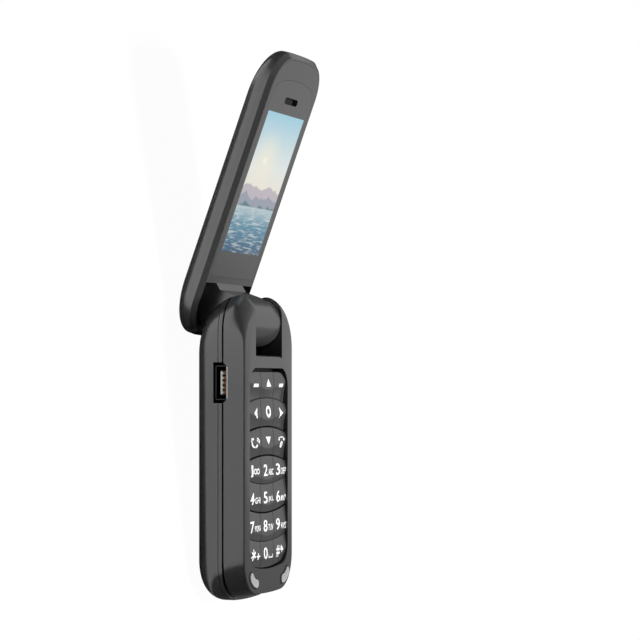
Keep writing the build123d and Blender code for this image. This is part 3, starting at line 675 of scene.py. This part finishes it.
def lake(tree, up, flat):
    """Dark water that pales towards its far shore, with glints where a flattened noise is high."""
    ripple = node(tree, "ShaderNodeMapping", {"Vector": flat, "Scale": ripple_scale})
    ripple = {"Vector": ripple.outputs[0], "Scale": 1.0, "Detail": 3.0, "Distortion": ripple_twist}
    ripple = node(tree, "ShaderNodeTexNoise", ripple).outputs["Fac"]
    glint = {"Value": ripple, "From Min": glint_from, "From Max": glint_to, "To Max": glint_strength}
    glint = node(tree, "ShaderNodeMapRange", glint)
    return mix_colours(tree, glint.outputs[0], ramp_node(tree, up, lake_stops), glint_colour)


def picture(tree):
    """Sky, sun, hills and lake, laid over each other from far to near."""
    across, up = picture_place(tree)
    flat = {0: across, 1: math_node(tree, "MULTIPLY", up, picture_aspect)}
    flat = node(tree, "ShaderNodeCombineXYZ", flat).outputs[0]
    land = hills(tree, across, up, sky_and_sun(tree, up, flat))
    water = below_edge(tree, up, shore_height, shore_softness)
    return mix_colours(tree, water, land, lake(tree, up, flat)), across, up


# %% The window's material
border_grey, border_gloss = (0.056, 0.056, 0.057), 0.2
unlit_black, picture_softness, picture_glow = (0.01, 0.01, 0.011, 1), 0.004, 0.8


def window_material():
    """Grey border under a clear lens, and the lit picture inside its four edges."""
    material, tree, output = new_material("screen_window")
    colour, across, up = picture(tree)
    inside = 1.0
    for place in (across, up):
        inside = math_node(tree, "MULTIPLY", soft_step(tree, place, 0.0, picture_softness), inside)
        inside = math_node(tree, "MULTIPLY", below_edge(tree, place, 1.0, picture_softness), inside)
    skin = {"Color": (*border_grey, 1), "Roughness": border_gloss}
    skin = node(tree, "ShaderNodeGroup", skin, node_tree=moulded)
    shown = mix_colours(tree, inside, (0, 0, 0, 1), colour)
    base = mix_colours(tree, inside, skin.outputs["Color"], unlit_black)
    shader = node(
        tree,
        "ShaderNodeBsdfPrincipled",
        {
            "Base Color": base,
            "Roughness": skin.outputs["Roughness"],
            "Normal": skin.outputs["Normal"],
            "Emission Color": shown,
            "Emission Strength": picture_glow,
        },
    )
    tree.links.new(shader.outputs[0], output.inputs["Surface"])
    return material


nodes["screen_window"].data.materials[0] = window_material()
print("hill ranges in the picture:", len(hill_ranges))

# %% [markdown]
# ## The keypad half's two covers
# The back cover rounds over wide at the hinge end and tighter round the rest. The front shell has
# straight sides with a small edge, and its lower end stands back a little from the cover below it.
# Both roundings follow one rule: a quarter circle that draws the plan in as it nears the face.

# %% Plans of the keypad half
wall = 1.2
back_side_round, back_top_round, back_bottom_round = 3.0, 9.2, 4.5
face_edge_round, face_top_round = 0.35, 4.5
shell_end_step, shell_end_draft = 0.7, 0.16


def drawn_in(depth, radius):
    """How far a quarter-round edge has drawn in at a depth from its face: r - sqrt(r^2 - (r - d)^2)."""
    if radius <= 0 or depth >= radius:
        return 0.0
    return radius - np.sqrt(radius**2 - (radius - max(depth, 0.0)) ** 2)


def base_ring(z, inset=0.0, front=False):
    """The keypad half's outline at height z, or of a surface that lies inset below its skin."""
    up = z - back_z - inset
    down = face_z - z - inset
    side = drawn_in(up, back_side_round - inset) + drawn_in(down, face_edge_round - inset)
    top = drawn_in(up, back_top_round - inset) + drawn_in(down, face_top_round - inset)
    bottom = drawn_in(up, back_bottom_round - inset) + drawn_in(down, face_edge_round - inset)
    if front:
        bottom += shell_end_step + shell_end_draft * max(0.0, z - shell_z)
    return plan_ring(
        z,
        half_width - side - inset,
        base_top - top - inset,
        base_bottom + bottom + inset,
        corner_radius - side - inset,
    )


def eased(low, high, steps, ease_low=True):
    """Heights from low to high that crowd towards one end, as 1 - cos does."""
    share = 1 - np.cos(np.linspace(0, pi / 2, steps))
    return low + (high - low) * share if ease_low else (high - (high - low) * share)[::-1]


# %% Holes that both covers share
pocket_half, pocket_depth = 8.5, 7.6
notch_half, notch_depth = 8.56, 4.2
port_y, port_z, port_length, port_height, port_chamfer = -13.7, 0.1, 9.0, 3.3, 1.0


def hinge_notch(half, depth):
    """A gap open to the hinge end: this wide to each side, and this deep from the hinge axis."""
    return prism("notch", box_outline((-half, half), (-depth, far_off)), -far_off, far_off)


def port_outline():
    """The side port: an oblong whose two corners nearer the keypad face are cut off."""
    near, far = port_y - port_length / 2, port_y + port_length / 2
    low, high = port_z - port_height / 2, port_z + port_height / 2
    square = [(near, low), (far, low)]
    chamfered = [(far, high - port_chamfer), (far - port_chamfer, high)]
    chamfered += [(near + port_chamfer, high), (near, high - port_chamfer)]
    return square + chamfered


def port_cutter():
    """The side port's hole through the left wall."""
    return prism("port", port_outline(), -half_width - wall, -half_width + 2.5 * wall, along="x")


# %% Back cover
rim_edge = 0.06
slot_places, slot_y = (-3.6, -1.2, 1.2, 3.6), -54.0
slot_half_width, slot_half_length, slot_corner = 0.45, 2.0, 0.44


def rear_cover():
    """Outer skin less its hollow, the hinge notch, the port and the sound slots."""
    heights = eased(back_z, cover_rim_z - rim_edge, 20)
    outside = [base_ring(z) for z in heights] + [base_ring(cover_rim_z, rim_edge)]
    floor_z = back_z + wall
    hollow = [base_ring(z, wall) for z in eased(floor_z, cover_rim_z, 10)]
    hollow += [base_ring(cover_rim_z + wall, wall)]
    cutters = [ring_solid("hollow", hollow), hinge_notch(notch_half, notch_depth), port_cutter()]
    for x in slot_places:
        outline = round_outline(slot_half_width, slot_half_length, slot_corner, (x, slot_y))
        cutters.append(prism("slot", outline, back_z - wall, floor_z + overcut))
    return cut(ring_solid("rear_cover", outside), cutters)


piece("back_cover_skin", rear_cover(), "base", graphite, ["rear_cover"])

# %% The strip beside the seam
strip_gap, strip_height, strip_bevel, strip_proud = 0.05, 0.9, 0.05, 0.01


def frame_strip():
    """The inner frame's edge: a band of the same outline, just outside the frame itself."""
    low, high = cover_rim_z + strip_gap, cover_rim_z + strip_gap + strip_height
    heights = (low, low + strip_bevel, high - strip_bevel, high)
    insets = (strip_bevel, -strip_proud, -strip_proud, strip_bevel)
    outside = ring_solid("strip", [base_ring(z, inset) for z, inset in zip(heights, insets)])
    hollow = ring_solid("hollow", [base_ring(z, wall) for z in (low - 1, high + 1)])
    return cut(outside, [hollow, hinge_notch(notch_half, pocket_depth), port_cutter()])


piece("frame_strip", frame_strip(), "base", graphite)

# %% The keypad's opening and the hinge pocket
keypad_lo, keypad_hi = drawn_box("keypad_sheet", "base")
sheet_border = 0.6
keypad_half = float(keypad_hi[0]) - sheet_border
keypad_top, keypad_low = float(keypad_hi[1]) - sheet_border, float(keypad_lo[1]) + sheet_border
keypad_corner = 4.2
keypad_middle = (keypad_top + keypad_low) / 2
row_curve_radius = 60.0
pocket_wall, pocket_lip = 1.0, 0.8


def row_sag(x, radius=row_curve_radius):
    """How far a circle of this radius has left its tangent at x: r - sqrt(r^2 - x^2)."""
    return radius - np.sqrt(radius**2 - np.asarray(x, float) ** 2)


def corner_points(centre, radius, start, stop, steps=14):
    """An arc about a centre, from one angle to another."""
    a = np.linspace(start, stop, steps)
    return np.stack([centre[0] + radius * np.cos(a), centre[1] + radius * np.sin(a)], axis=1)


def keypad_outline(grow=0.0):
    """Straight top and sides, a lower end that bends as the rows do, and four tangent corner arcs."""
    half, top, low = keypad_half + grow, keypad_top + grow, keypad_low - grow
    r, big = keypad_corner + grow, row_curve_radius
    cx = half - r
    cy = low + big - np.sqrt((big - r) ** 2 - cx**2)
    lean = np.arctan2(cx, low + big - cy)
    arc = np.linspace(-lean, lean, 14)[1:-1]
    foot = np.stack([big * np.sin(arc), low + big - big * np.cos(arc)], axis=1)
    right_foot = corner_points((cx, cy), r, -pi / 2 + lean, 0)
    right_top = corner_points((cx, top - r), r, 0, pi / 2)
    left_top = corner_points((-cx, top - r), r, pi / 2, pi)
    left_foot = corner_points((-cx, cy), r, pi, 3 * pi / 2 - lean)
    return np.concatenate([foot, right_foot, right_top, left_top, left_foot])


def pocket_side():
    """The hinge pocket seen from the side: its lower wall rounds over into the face."""
    lip = corner_points((-pocket_depth - pocket_lip, face_z - pocket_lip), pocket_lip, pi / 2, 0, 8)
    above = [(-pocket_depth - pocket_lip, far_off)]
    below = [(-pocket_depth, -far_off), (far_off, -far_off), (far_off, far_off)]
    return np.concatenate([above, lip, below])


# %% Two soft beans that the lid closes on
bean_lo, bean_hi = drawn_box("closing_bumpers", "base")
bean_bend, bean_half, bean_from, bean_to = 4.9, 1.0, radians(222), radians(265)
bean_heart = (
    float(bean_lo[0]) + bean_half - bean_bend * cos(bean_from),
    float(bean_lo[1]) + bean_half - bean_bend * sin(bean_to),
)
bean_stand = float(bean_hi[2]) - face_z
bean_sink, bean_gap, bean_rim = 0.5, 0.26, 0.25
bean_dish = ((0.05, 0.12), (0.07, 0.4))
print("bumpers in the frame:", np.round(bean_lo, 2), np.round(bean_hi, 2))


def bean_outline(grow, side):
    """A bent bar with round ends: an arc pushed out and in by its half width, and two half circles."""
    half = bean_half + grow
    along = np.linspace(bean_from, bean_to, 16)
    turn = np.linspace(0, pi, 10)[1:-1]
    outer = np.stack([np.cos(along), np.sin(along)], axis=1) * (bean_bend + half)
    inner = np.stack([np.cos(along), np.sin(along)], axis=1) * (bean_bend - half)
    caps = []
    for middle, first in ((bean_to, bean_to), (bean_from, bean_from + pi)):
        centre = bean_bend * np.array([cos(middle), sin(middle)])
        caps.append(centre + half * np.stack([np.cos(first + turn), np.sin(first + turn)], axis=1))
    ring = np.concatenate([outer, caps[0], inner[::-1], caps[1]]) + bean_heart
    return ring * (side, 1)


def bumper():
    """Both beans: a straight wall, a rounded rim, and a top that is dished a little."""
    top = face_z + bean_stand
    turn = np.linspace(0, pi / 2, 6)
    levels = [(face_z - bean_sink, 0.0)]
    levels += [(top - bean_rim + bean_rim * np.sin(t), -bean_rim * (1 - np.cos(t))) for t in turn]
    levels += [(top - deep, -bean_rim - way_in) for deep, way_in in bean_dish]
    beans = []
    for side in (1, -1):
        flats = [(bean_outline(grow, side), z) for z, grow in levels]
        rings = [np.column_stack([flat, np.full(len(flat), z)]) for flat, z in flats]
        beans.append(ring_solid("bean", rings))
    return joined("bumpers", beans)


piece("closing_bumpers_skin", bumper(), "base", pale_bumper, ["closing_bumpers"])


# %% Front shell
def front_shell():
    """Outer skin less its hollow, which stays clear of the hinge pocket, and less its openings."""
    round_from = face_z - face_top_round
    outside = [base_ring(shell_z, rim_edge, True)]
    outside += [base_ring(z, 0.0, True) for z in np.linspace(shell_z + rim_edge, round_from, 4)]
    outside += [base_ring(z, 0.0, True) for z in eased(round_from, face_z, 24, False)[1:]]
    hollow_levels = eased(shell_z - wall, face_z - wall, 12, False)
    hollow = ring_solid("hollow", [base_ring(z, wall, True) for z in hollow_levels])
    hollow = cut(hollow, [hinge_notch(pocket_half + pocket_wall, pocket_depth + pocket_wall)])
    pocket = prism("pocket", pocket_side(), -pocket_half, pocket_half, along="x")
    opening_cutter = prism("opening", keypad_outline(), face_z - 3 * wall, face_z + wall)
    cutters = [hollow, pocket, opening_cutter, port_cutter()]
    for side in (1, -1):
        socket_floor = face_z - bean_sink - overcut
        cutters.append(prism("socket", bean_outline(bean_gap, side), socket_floor, face_z + wall))
    return cut(ring_solid("front_shell", outside), cutters)


piece("front_shell_skin", front_shell(), "base", graphite_face, ["front_shell"])

# %% [markdown]
# ## Inside the side port
# The socket's shell is set back and painted near black for the shade inside the port, with only the lip
# along one long side catching the light.
# On its tongue a pale comb stands in front of five gilt contacts, which rise out of it.

# %% Port lip, comb and contacts
lip_bar, lip_inset = 0.16, 0.06
comb_x, comb_thickness, comb_low, comb_root, comb_tip = -14.75, 0.5, -0.1, 0.28, 0.66
comb_pitch, comb_teeth, tooth_half = 1.06, 5, 0.3
contact_half, contact_sink, contact_tip = 0.36, 0.1, 1.55
contact_front, contact_back = 0.12, 0.3
first_tooth = port_y - comb_pitch * (comb_teeth - 1) / 2
tooth_places = [first_tooth + number * comb_pitch for number in range(comb_teeth)]


def port_lip():
    """A thin bar along the port's long side, between its two cut corners."""
    near, far = port_y - port_length / 2 + port_chamfer, port_y + port_length / 2 - port_chamfer
    high = port_z + port_height / 2
    outline = box_outline((near, far), (high - lip_bar, high))
    return prism("lip", outline, -half_width + lip_inset, -half_width + wall, "x")


def comb():
    """A saw-toothed bar, whose teeth point away from the back cover."""
    points = [(first_tooth - comb_pitch / 2, comb_low)]
    for middle in tooth_places:
        points += [(middle - tooth_half, comb_root), (middle, comb_tip), (middle + tooth_half, comb_root)]
    points += [(first_tooth + comb_pitch * (comb_teeth - 0.5), comb_low)]
    return prism("comb", points, comb_x, comb_x + comb_thickness, "x")


def contacts():
    """Five gilt strips, one behind each tooth of the comb, set into the bar."""
    strips = []
    heights = (comb_root - contact_sink, contact_tip)
    for middle in tooth_places:
        outline = box_outline((middle - contact_half, middle + contact_half), heights)
        strips.append(prism("strip", outline, comb_x + contact_front, comb_x + contact_back, "x"))
    return joined("contacts", strips)


ivory = plastic("ivory_comb", (0.72, 0.71, 0.68), 0.45)
amber_gilt = plastic("amber_gilt", (0.16, 0.06, 0.015), 0.4, metallic=0.3, uneven=0.3)
piece("port_lip", port_lip(), "base", steel, smooth=False)
piece("port_comb", comb(), "base", ivory, smooth=False)
piece("port_contacts", contacts(), "base", amber_gilt, smooth=False)

# %% [markdown]
# ## The lid's cover
# The lid is a shallow bowl. Its rim is bevelled towards the keypad half, its side stands straight for
# a little, then rounds over into a slightly domed back. Its ends draw in faster than its sides.

# %% Lid cover
lid_edge_height, lid_edge_round, lid_dome_rise = 5.4, 3.0, 0.55
lid_rim_chamfer, lid_rim_height = 0.9, 1.1
lid_heel_ratio, lid_tip_ratio, lid_corner_ratio = 2.2, 2.0, 0.5
last_ring_half = 1.2


def lid_height(draw_in):
    """The skin's height over the lid's inner face: a quarter circle, then a shallow parabola."""
    left = 1 - min(1.0, draw_in / lid_edge_round)
    dome = lid_dome_rise * (1 - (1 - draw_in / half_width) ** 2)
    return lid_edge_height - lid_edge_round * (1 - np.sqrt(1 - left**2)) + dome


def lid_ring(z, draw_in=0.0, inset=0.0):
    """The lid's outline where its plan has drawn in this far."""
    return plan_ring(
        z,
        half_width - draw_in - inset,
        lid_heel - lid_heel_ratio * draw_in - inset,
        lid_tip + lid_tip_ratio * draw_in + inset,
        corner_radius - lid_corner_ratio * draw_in - inset / 2,
    )


def lid_cover():
    """The bowl's outside and inside, from the rim to the middle of its back."""
    rounded = lid_edge_round * (1 - np.cos(np.linspace(0, pi / 2, 18)))
    domed = np.linspace(lid_edge_round, half_width - last_ring_half, 12)[1:]
    draws = np.concatenate([rounded, domed])
    outside = [lid_ring(lid_z, 0, lid_rim_chamfer), lid_ring(lid_z + lid_rim_height)]
    outside += [lid_ring(lid_z + lid_height(d), d) for d in draws]
    inner_draws = draws[:-3]
    hollow = [lid_ring(lid_z - wall, 0, wall)]
    hollow += [lid_ring(lid_z + lid_height(d) - wall, d, wall) for d in inner_draws]
    return cut(ring_solid("lid_cover", outside), [ring_solid("hollow", hollow)])


piece("lid_cover_skin", lid_cover(), "lid", graphite, ["lid_outer_cover"])

# %% [markdown]
# ## Twenty-one keys
# Every key is one moulded cap. Along the keypad it rises gently to a crest, then falls off to the
# next row, and the crest itself bends like a fingernail. A key is a grid over its own cell: the
# columns of the grid stand at fixed X, and in each column Y runs from the cell's lower line to its
# crest, and on to its upper line. So the crest is always a line of the grid and stays crisp.

# %% Rows and columns
key_rows = [
    ["key_soft_left", "key_up", "key_soft_right"],
    ["key_left", "key_ok", "key_right"],
    ["key_call", "key_down", "key_end"],
    ["key_1", "key_2", "key_3"],
    ["key_4", "key_5", "key_6"],
    ["key_7", "key_8", "key_9"],
    ["key_star", "key_0", "key_hash"],
]
top_row_height, bottom_row_height = 6.7, 6.1
middle_column = 8.2
key_pitch = (keypad_top - keypad_low - top_row_height - bottom_row_height) / (len(key_rows) - 2)
key_sink, key_height = 0.25, 2.1
key_top_z = face_z - key_sink
key_bottom_z = key_top_z - key_height
open_lines = {2: 0.27, 3: 0.27, 5: 0.27}
tight_gap, column_gap, rim_gap, head_gap = 0.05, 0.1, 0.2, 0.6
print("key pitch", round(key_pitch, 2), "mm")


def row_line(row, x):
    """The line above a row: straight at the keypad's top, arched up in rows 1 to 3, then hanging."""
    if row == 0:
        return np.full(np.shape(x), keypad_top)
    if row == len(key_rows):
        return keypad_low + row_sag(x)
    bend = -1 if row <= len(key_rows) // 2 else 1
    return keypad_top - top_row_height - (row - 1) * key_pitch + bend * row_sag(x)


def rim_line(x, upper):
    """The keypad's own outline at x, inside its rim gap, with its corner arcs."""
    edge = keypad_outline(-rim_gap)
    side = edge[edge[:, 1] > keypad_middle] if upper else edge[edge[:, 1] < keypad_middle]
    order = np.argsort(side[:, 0])
    return np.interp(x, side[order, 0], side[order, 1])


def cell_lines(row, x):
    """A cell's lower and upper line at x: the row lines less their gaps, inside the keypad's outline."""
    low_gap = open_lines.get(row + 1, tight_gap) / 2
    high_gap = open_lines.get(row, tight_gap) / 2
    low = np.maximum(row_line(row + 1, x) + low_gap, rim_line(x, False))
    high = np.minimum(row_line(row, x) - high_gap, rim_line(x, True) - (head_gap if row == 0 else 0.0))
    return low, high


# %% Crests and the height of a key
head_drop, foot_slope, foot_deepest = 0.45, 0.3, 0.8
crest_rises = (2.0, 1.6, 1.6, 0.9, 1.6, 1.0, 2.0)
upper_crest_radius, lower_crest_radius = 55.0, 45.0
nail_depth = 0.4
edge_round, side_round, corner_share = 0.22, 0.07, 0.4
crest_softness, crest_from_low, crest_from_high = 0.05, 0.3, 0.5


def crest_line(row, x):
    """Where a row is highest: a circle's arc that hangs down, with one dip more in every key."""
    radius = upper_crest_radius if row < len(key_rows) // 2 else lower_crest_radius
    middle = float(row_line(row + 1, 0.0)) + crest_rises[row]
    across = np.abs(np.asarray(x, float)) / (middle_column / 2)
    nail = np.where(across < 1, nail_depth * across**2, nail_depth)
    return middle + row_sag(x, radius) + nail


def relief(row, x, y):
    """A key's height: the lower of two ramps, one from its crest up the row and one down it."""
    low, high = row_line(row + 1, x), row_line(row, x)
    crest = np.clip(crest_line(row, x), low + crest_from_low, high - crest_from_high)
    up = head_drop * (y - crest) / (high - crest)
    down = foot_deepest * np.tanh(foot_slope / foot_deepest * (crest - y))
    deepest = np.maximum(up, down)
    return key_top_z - crest_softness * np.log1p(np.exp(deepest / crest_softness))


def edge_fall(distance, radius=edge_round):
    """A quarter-round edge: how far the skin has fallen this near to it."""
    near = np.clip(radius - np.asarray(distance, float), 0, radius)
    return radius - np.sqrt(radius**2 - near**2)


def key_height_at(row, column, x, y):
    """The finished skin of a key: its relief less its four rounded edges."""
    left, right = column_sides(column)
    low, high = cell_lines(row, x)
    across = edge_fall(np.minimum(x - left, right - x), side_round)
    along = edge_fall(np.minimum(y - low, high - y))
    return relief(row, x, y) - np.maximum(across, along) - corner_share * np.minimum(across, along)


def column_sides(column):
    """The two X places between which a column of keys stands."""
    inner, outer = middle_column / 2, keypad_half - rim_gap
    lefts = (-outer, -inner + column_gap / 2, inner + column_gap / 2)
    rights = (-inner - column_gap / 2, inner - column_gap / 2, outer)
    return lefts[column], rights[column]


# %% A key as a grid
crest_room = 0.1


def edge_steps(edge):
    """Distances from a border to where its rounding ends, closest together at the border: 1 - cos."""
    return edge * (1 - np.cos(np.linspace(0, pi / 2, 5)))


def spread(low, high, edge, steps):
    """Places from low to high with a few more near both ends, as an edge's rounding needs."""
    between = np.linspace(low + edge, high - edge, steps)[1:-1]
    return np.concatenate([low + edge_steps(edge), between, (high - edge_steps(edge))[::-1]])


def key_cap(row, column):
    """One closed skin: a grid for the top, a straight skirt from its border, and a floor."""
    left, right = column_sides(column)
    x = spread(left, right, side_round, 24)
    low, high = cell_lines(row, x)
    crest = crest_line(row, x)
    crest = np.clip(crest, low + 2 * edge_round + crest_room, high - 2 * edge_round - crest_room)
    turn = edge_steps(edge_round)[:, None]
    below = low + edge_round + (crest - low - edge_round) * np.linspace(0, 1, 12)[1:, None]
    above = crest + (high - edge_round - crest) * np.linspace(0, 1, 18)[1:-1, None]
    y = np.concatenate([low + turn, below, above, high - turn[::-1]])
    x_grid = np.broadcast_to(x, y.shape)
    z = key_height_at(row, column, x_grid, y)
    rows_n, cols_n = y.shape
    top = np.stack([x_grid, y, z], axis=2).reshape(-1, 3)
    i, j = np.meshgrid(np.arange(rows_n - 1), np.arange(cols_n - 1), indexing="ij")
    at = i * cols_n + j
    quads = np.stack([at, at + 1, at + cols_n + 1, at + cols_n], axis=2).reshape(-1, 4).tolist()
    ids = np.arange(rows_n * cols_n).reshape(rows_n, cols_n)
    border = np.concatenate([ids[0, :-1], ids[:-1, -1], ids[-1, :0:-1], ids[:0:-1, 0]])
    foot = top[border].copy()
    foot[:, 2] = key_bottom_z
    skirt = np.arange(len(border)) + len(top)
    following = np.roll(np.arange(len(border)), -1)
    quads += np.stack([border, skirt, skirt[following], border[following]], axis=1).tolist()
    quads.append(skirt.tolist())
    return make_mesh(f"cap_{row}_{column}", np.concatenate([top, foot]), quads)


for row, names in enumerate(key_rows):
    for column, name in enumerate(names):
        cap = key_cap(row, column)
        piece(f"{name}_skin", cap, "base", key_plastic, [name], f"{name}_cap")

# %% [markdown]
# ## Legends
# The digits and letters are plain generic ones. Each is a text curve turned to a mesh, fitted to its
# place by its own box, leant a little, cut into small squares so that it can bend, and laid on the
# key's skin a hundredth of a millimetre proud, as screen printing is.

# %% Printing on a key
print_height = 0.012
print_cell = 0.3
lean_share, boldness = 0.16, 0.014


def glyph_mesh(text):
    """Flat letters from Blender's own font, a little bolder than it draws them."""
    curve = bpy.data.curves.new("glyph", "FONT")
    curve.body = text
    curve.offset = boldness
    curve.resolution_u = 3
    holder = bpy.data.objects.new("glyph", curve)
    scene.collection.objects.link(holder)
    depsgraph = bpy.context.evaluated_depsgraph_get()
    mesh = bpy.data.meshes.new_from_object(holder.evaluated_get(depsgraph))
    bpy.data.objects.remove(holder)
    return mesh


def outline_mesh(outlines):
    """A flat sign from one or more closed outlines, each an n-gon."""
    points, faces = [], []
    for outline in outlines:
        faces.append(list(range(len(points), len(points) + len(outline))))
        points += [(x, y, 0.0) for x, y in outline]
    mesh = bpy.data.meshes.new("sign")
    mesh.from_pydata(points, [], faces)
    return mesh


def laid_on_key(mesh, row, column, corner, size, lean):
    """Fits a flat sign into a box on a key, cuts it along a small grid, and drops it onto the skin."""
    shape = bmesh.new()
    shape.from_mesh(mesh)
    points = np.array([v.co for v in shape.verts])
    low, high = points.min(axis=0), points.max(axis=0)
    place = (points[:, :2] - low[:2]) / np.maximum(high[:2] - low[:2], 1e-6) * np.array(size)
    place[:, 0] += lean * (place[:, 1] - size[1] / 2)
    place += np.array(corner)
    for vert, spot in zip(shape.verts, place):
        vert.co = (spot[0], spot[1], 0.0)
    for axis in (0, 1):
        normal = (1, 0, 0) if axis == 0 else (0, 1, 0)
        for at in np.arange(place[:, axis].min(), place[:, axis].max(), print_cell)[1:]:
            everything = shape.verts[:] + shape.edges[:] + shape.faces[:]
            through = [at * c for c in normal]
            bmesh.ops.bisect_plane(shape, geom=everything, plane_co=through, plane_no=normal)
    bmesh.ops.triangulate(shape, faces=shape.faces)
    shape.to_mesh(mesh)
    shape.free()
    points = np.empty(len(mesh.vertices) * 3)
    mesh.vertices.foreach_get("co", points)
    points = points.reshape(-1, 3)
    points[:, 2] = key_height_at(row, column, points[:, 0], points[:, 1]) + print_height
    mesh.vertices.foreach_set("co", points.ravel())
    return mesh


def facing_out(mesh):
    """Turns every face of a flat sign to the side that the keypad faces."""
    shape = bmesh.new()
    shape.from_mesh(mesh)
    shape.normal_update()
    wrong = [f for f in shape.faces if f.normal.z < 0]
    bmesh.ops.reverse_faces(shape, faces=wrong)
    shape.to_mesh(mesh)
    shape.free()
    return mesh


# %% Outlines of the signs that are not letters
handset_back, handset_belly, handset_drop = 1.3, 1.03, 0.5
handset_block = [(0.64, 0.1), (0.52, -0.22), (0.86, -0.36), (1.12, 0.22)]


def ring_pair(half_x, half_y, share, steps=24):
    """An upright oval ring as two half bands, so that its hole stays open."""
    a = np.linspace(-pi / 2, pi / 2, steps)
    outer = np.stack([half_x * np.cos(a), half_y * np.sin(a)], axis=1)
    inner = outer * share
    right = np.concatenate([outer, inner[::-1]])
    return [right, right * (-1, 1)]


def handset(lean):
    """A telephone handset: a bent bar with a block at each end, turned by an angle."""
    a = np.linspace(0.25 * pi, 0.75 * pi, 12)
    back = np.stack([handset_back * np.cos(a), handset_back * np.sin(a) - handset_drop], axis=1)
    belly = np.stack([handset_belly * np.cos(a), handset_belly * np.sin(a) - handset_drop], axis=1)
    left_block = [(-x, y) for x, y in handset_block]
    shape = np.array([*handset_block[::-1], *back, *left_block, *belly[::-1]])
    c, s = cos(lean), sin(lean)
    return np.stack([shape[:, 0] * c - shape[:, 1] * s, shape[:, 0] * s + shape[:, 1] * c], axis=1)


def wave(radius, width):
    """A short curved bar, as the sound marks beside a handset are."""
    a = np.linspace(-0.2 * pi, 0.45 * pi, 8)
    outer = np.stack([radius * np.cos(a), radius * np.sin(a)], axis=1)
    inner = outer * (radius - width) / radius
    return np.concatenate([outer, inner[::-1]])


# %% The signs: outlines, where their box starts from the key's middle, and its size
soft_bar = [round_outline(1.0, 0.3, 0.12, steps=4)]
up_arrow, down_arrow = [[(-1, -1), (1, -1), (0, 1)]], [[(-1, 1), (1, 1), (0, -1)]]
left_arrow, right_arrow = [[(-1, 0), (1, 1), (0.6, 0), (1, -1)]], [[(1, 0), (-1, 1), (-0.6, 0), (-1, -1)]]
signs = {
    "key_soft_left": [(soft_bar, (-1.4, -0.2), (2.9, 0.75))],
    "key_soft_right": [(soft_bar, (-1.4, -0.2), (2.9, 0.75))],
    "key_up": [(up_arrow, (-1.6, -0.1), (3.2, 1.75))],
    "key_down": [(down_arrow, (-1.6, -0.75), (3.2, 1.75))],
    "key_left": [(left_arrow, (-1.2, -1.15), (2.3, 2.6))],
    "key_right": [(right_arrow, (-1.2, -1.15), (2.3, 2.6))],
    "key_ok": [(ring_pair(1, 1, 0.52), (-1.6, -0.85), (3.1, 2.65))],
    "key_call": [
        ([handset(2.25)], (-3.1, -1.45), (4.3, 2.35)),
        ([wave(1.0, 0.3), wave(0.5, 0.3)], (0.6, -0.4), (1.9, 1.3)),
    ],
    "key_end": [
        ([handset(0.0)], (-1.9, -0.05), (4.2, 0.95)),
        (ring_pair(1, 1, 0.35), (-0.7, -1.65), (1.8, 1.5)),
    ],
}
print("keys with a sign alone:", len(signs))

# %% Digits, letters, and the signs beside a digit
row_centres = [-14.45, -20.65, -26.8, -33.2, -39.35, -45.65, -51.8]
column_left, indent = (-11.0, -2.35, 5.7), 0.8
digit_size, digit_foot, legend_shift = (2.5, 2.6), -1.35, 0.7
letter_height, letter_foot, letter_gap = 1.4, -1.2, 0.45
letter_width, letter_margin, widest_letters = 0.95, 0.4, 3.6
narrow_digits, plus_width = {"1": 1.1, "#": 2.2}, 2.3
loops = [ring + (side, 0) for side in (-1, 1) for ring in ring_pair(1.1, 1.0, 0.6)]
blank = [(-1, 0.5), (-0.8, 0.5), (-0.8, -0.2), (0.8, -0.2), (0.8, 0.5), (1, 0.5), (1, -0.5), (-1, -0.5)]
lobe = [(0.5, -1), (0.62, -0.4), (1, -0.2), (0.75, 0.55), (0.5, 1), (0.25, 0.55), (0, -0.2), (0.38, -0.4)]
beside_digit = {
    "key_1": (loops, -0.85, (3.6, 1.3), lean_share),
    "key_0": ([blank], -1.2, (2.6, 0.75), lean_share),
    "key_hash": ([lobe], -0.6, (1.7, 1.9), 0),
}
legends = {
    "key_1": ("1", None), "key_2": ("2", "ABC"), "key_3": ("3", "DEF"),
    "key_4": ("4", "GHI"), "key_5": ("5", "JKL"), "key_6": ("6", "MNO"),
    "key_7": ("7", "PQRS"), "key_8": ("8", "TUV"), "key_9": ("9", "WXYZ"),
    "key_star": ("*", "+"), "key_0": ("0", None), "key_hash": ("#", None),
}


def sign_parts(name, row, column):
    """What is printed on one key: flat meshes, each with its corner, its size and its lean."""
    y = row_centres[row]
    middle = sum(column_sides(column)) / 2 + legend_shift
    if name in signs:
        placed = [(outlines, (middle + dx, y + dy), size) for outlines, (dx, dy), size in signs[name]]
        return [(outline_mesh(outlines), corner, size, 0) for outlines, corner, size in placed]
    digit, letters = legends[name]
    x = column_left[column] + (indent if name in ("key_1", "key_star") else 0.0)
    width = narrow_digits.get(digit, digit_size[0])
    parts = [(glyph_mesh(digit), (x, y + digit_foot), (width, digit_size[1]), lean_share)]
    after = x + width + letter_gap
    if letters:
        wide = min(letter_width * len(letters) + letter_margin, widest_letters)
        wide = plus_width if letters == "+" else wide
        parts.append((glyph_mesh(letters), (after, y + letter_foot), (wide, letter_height), lean_share))
    else:
        outlines, foot, size, lean = beside_digit[name]
        parts.append((outline_mesh(outlines), (after, y + foot), size, lean))
    return parts


# %% Print the keys
def printed(name, row, column):
    """All signs of one key in one mesh."""
    parts = sign_parts(name, row, column)
    laid = [facing_out(laid_on_key(flat, row, column, *box)) for flat, *box in parts]
    return joined(f"{name}_print", laid)


for row, names in enumerate(key_rows):
    for column, name in enumerate(names):
        mesh = printed(name, row, column)
        piece(f"{name}_print", mesh, "base", white_print, (), f"{name}_cap", False)
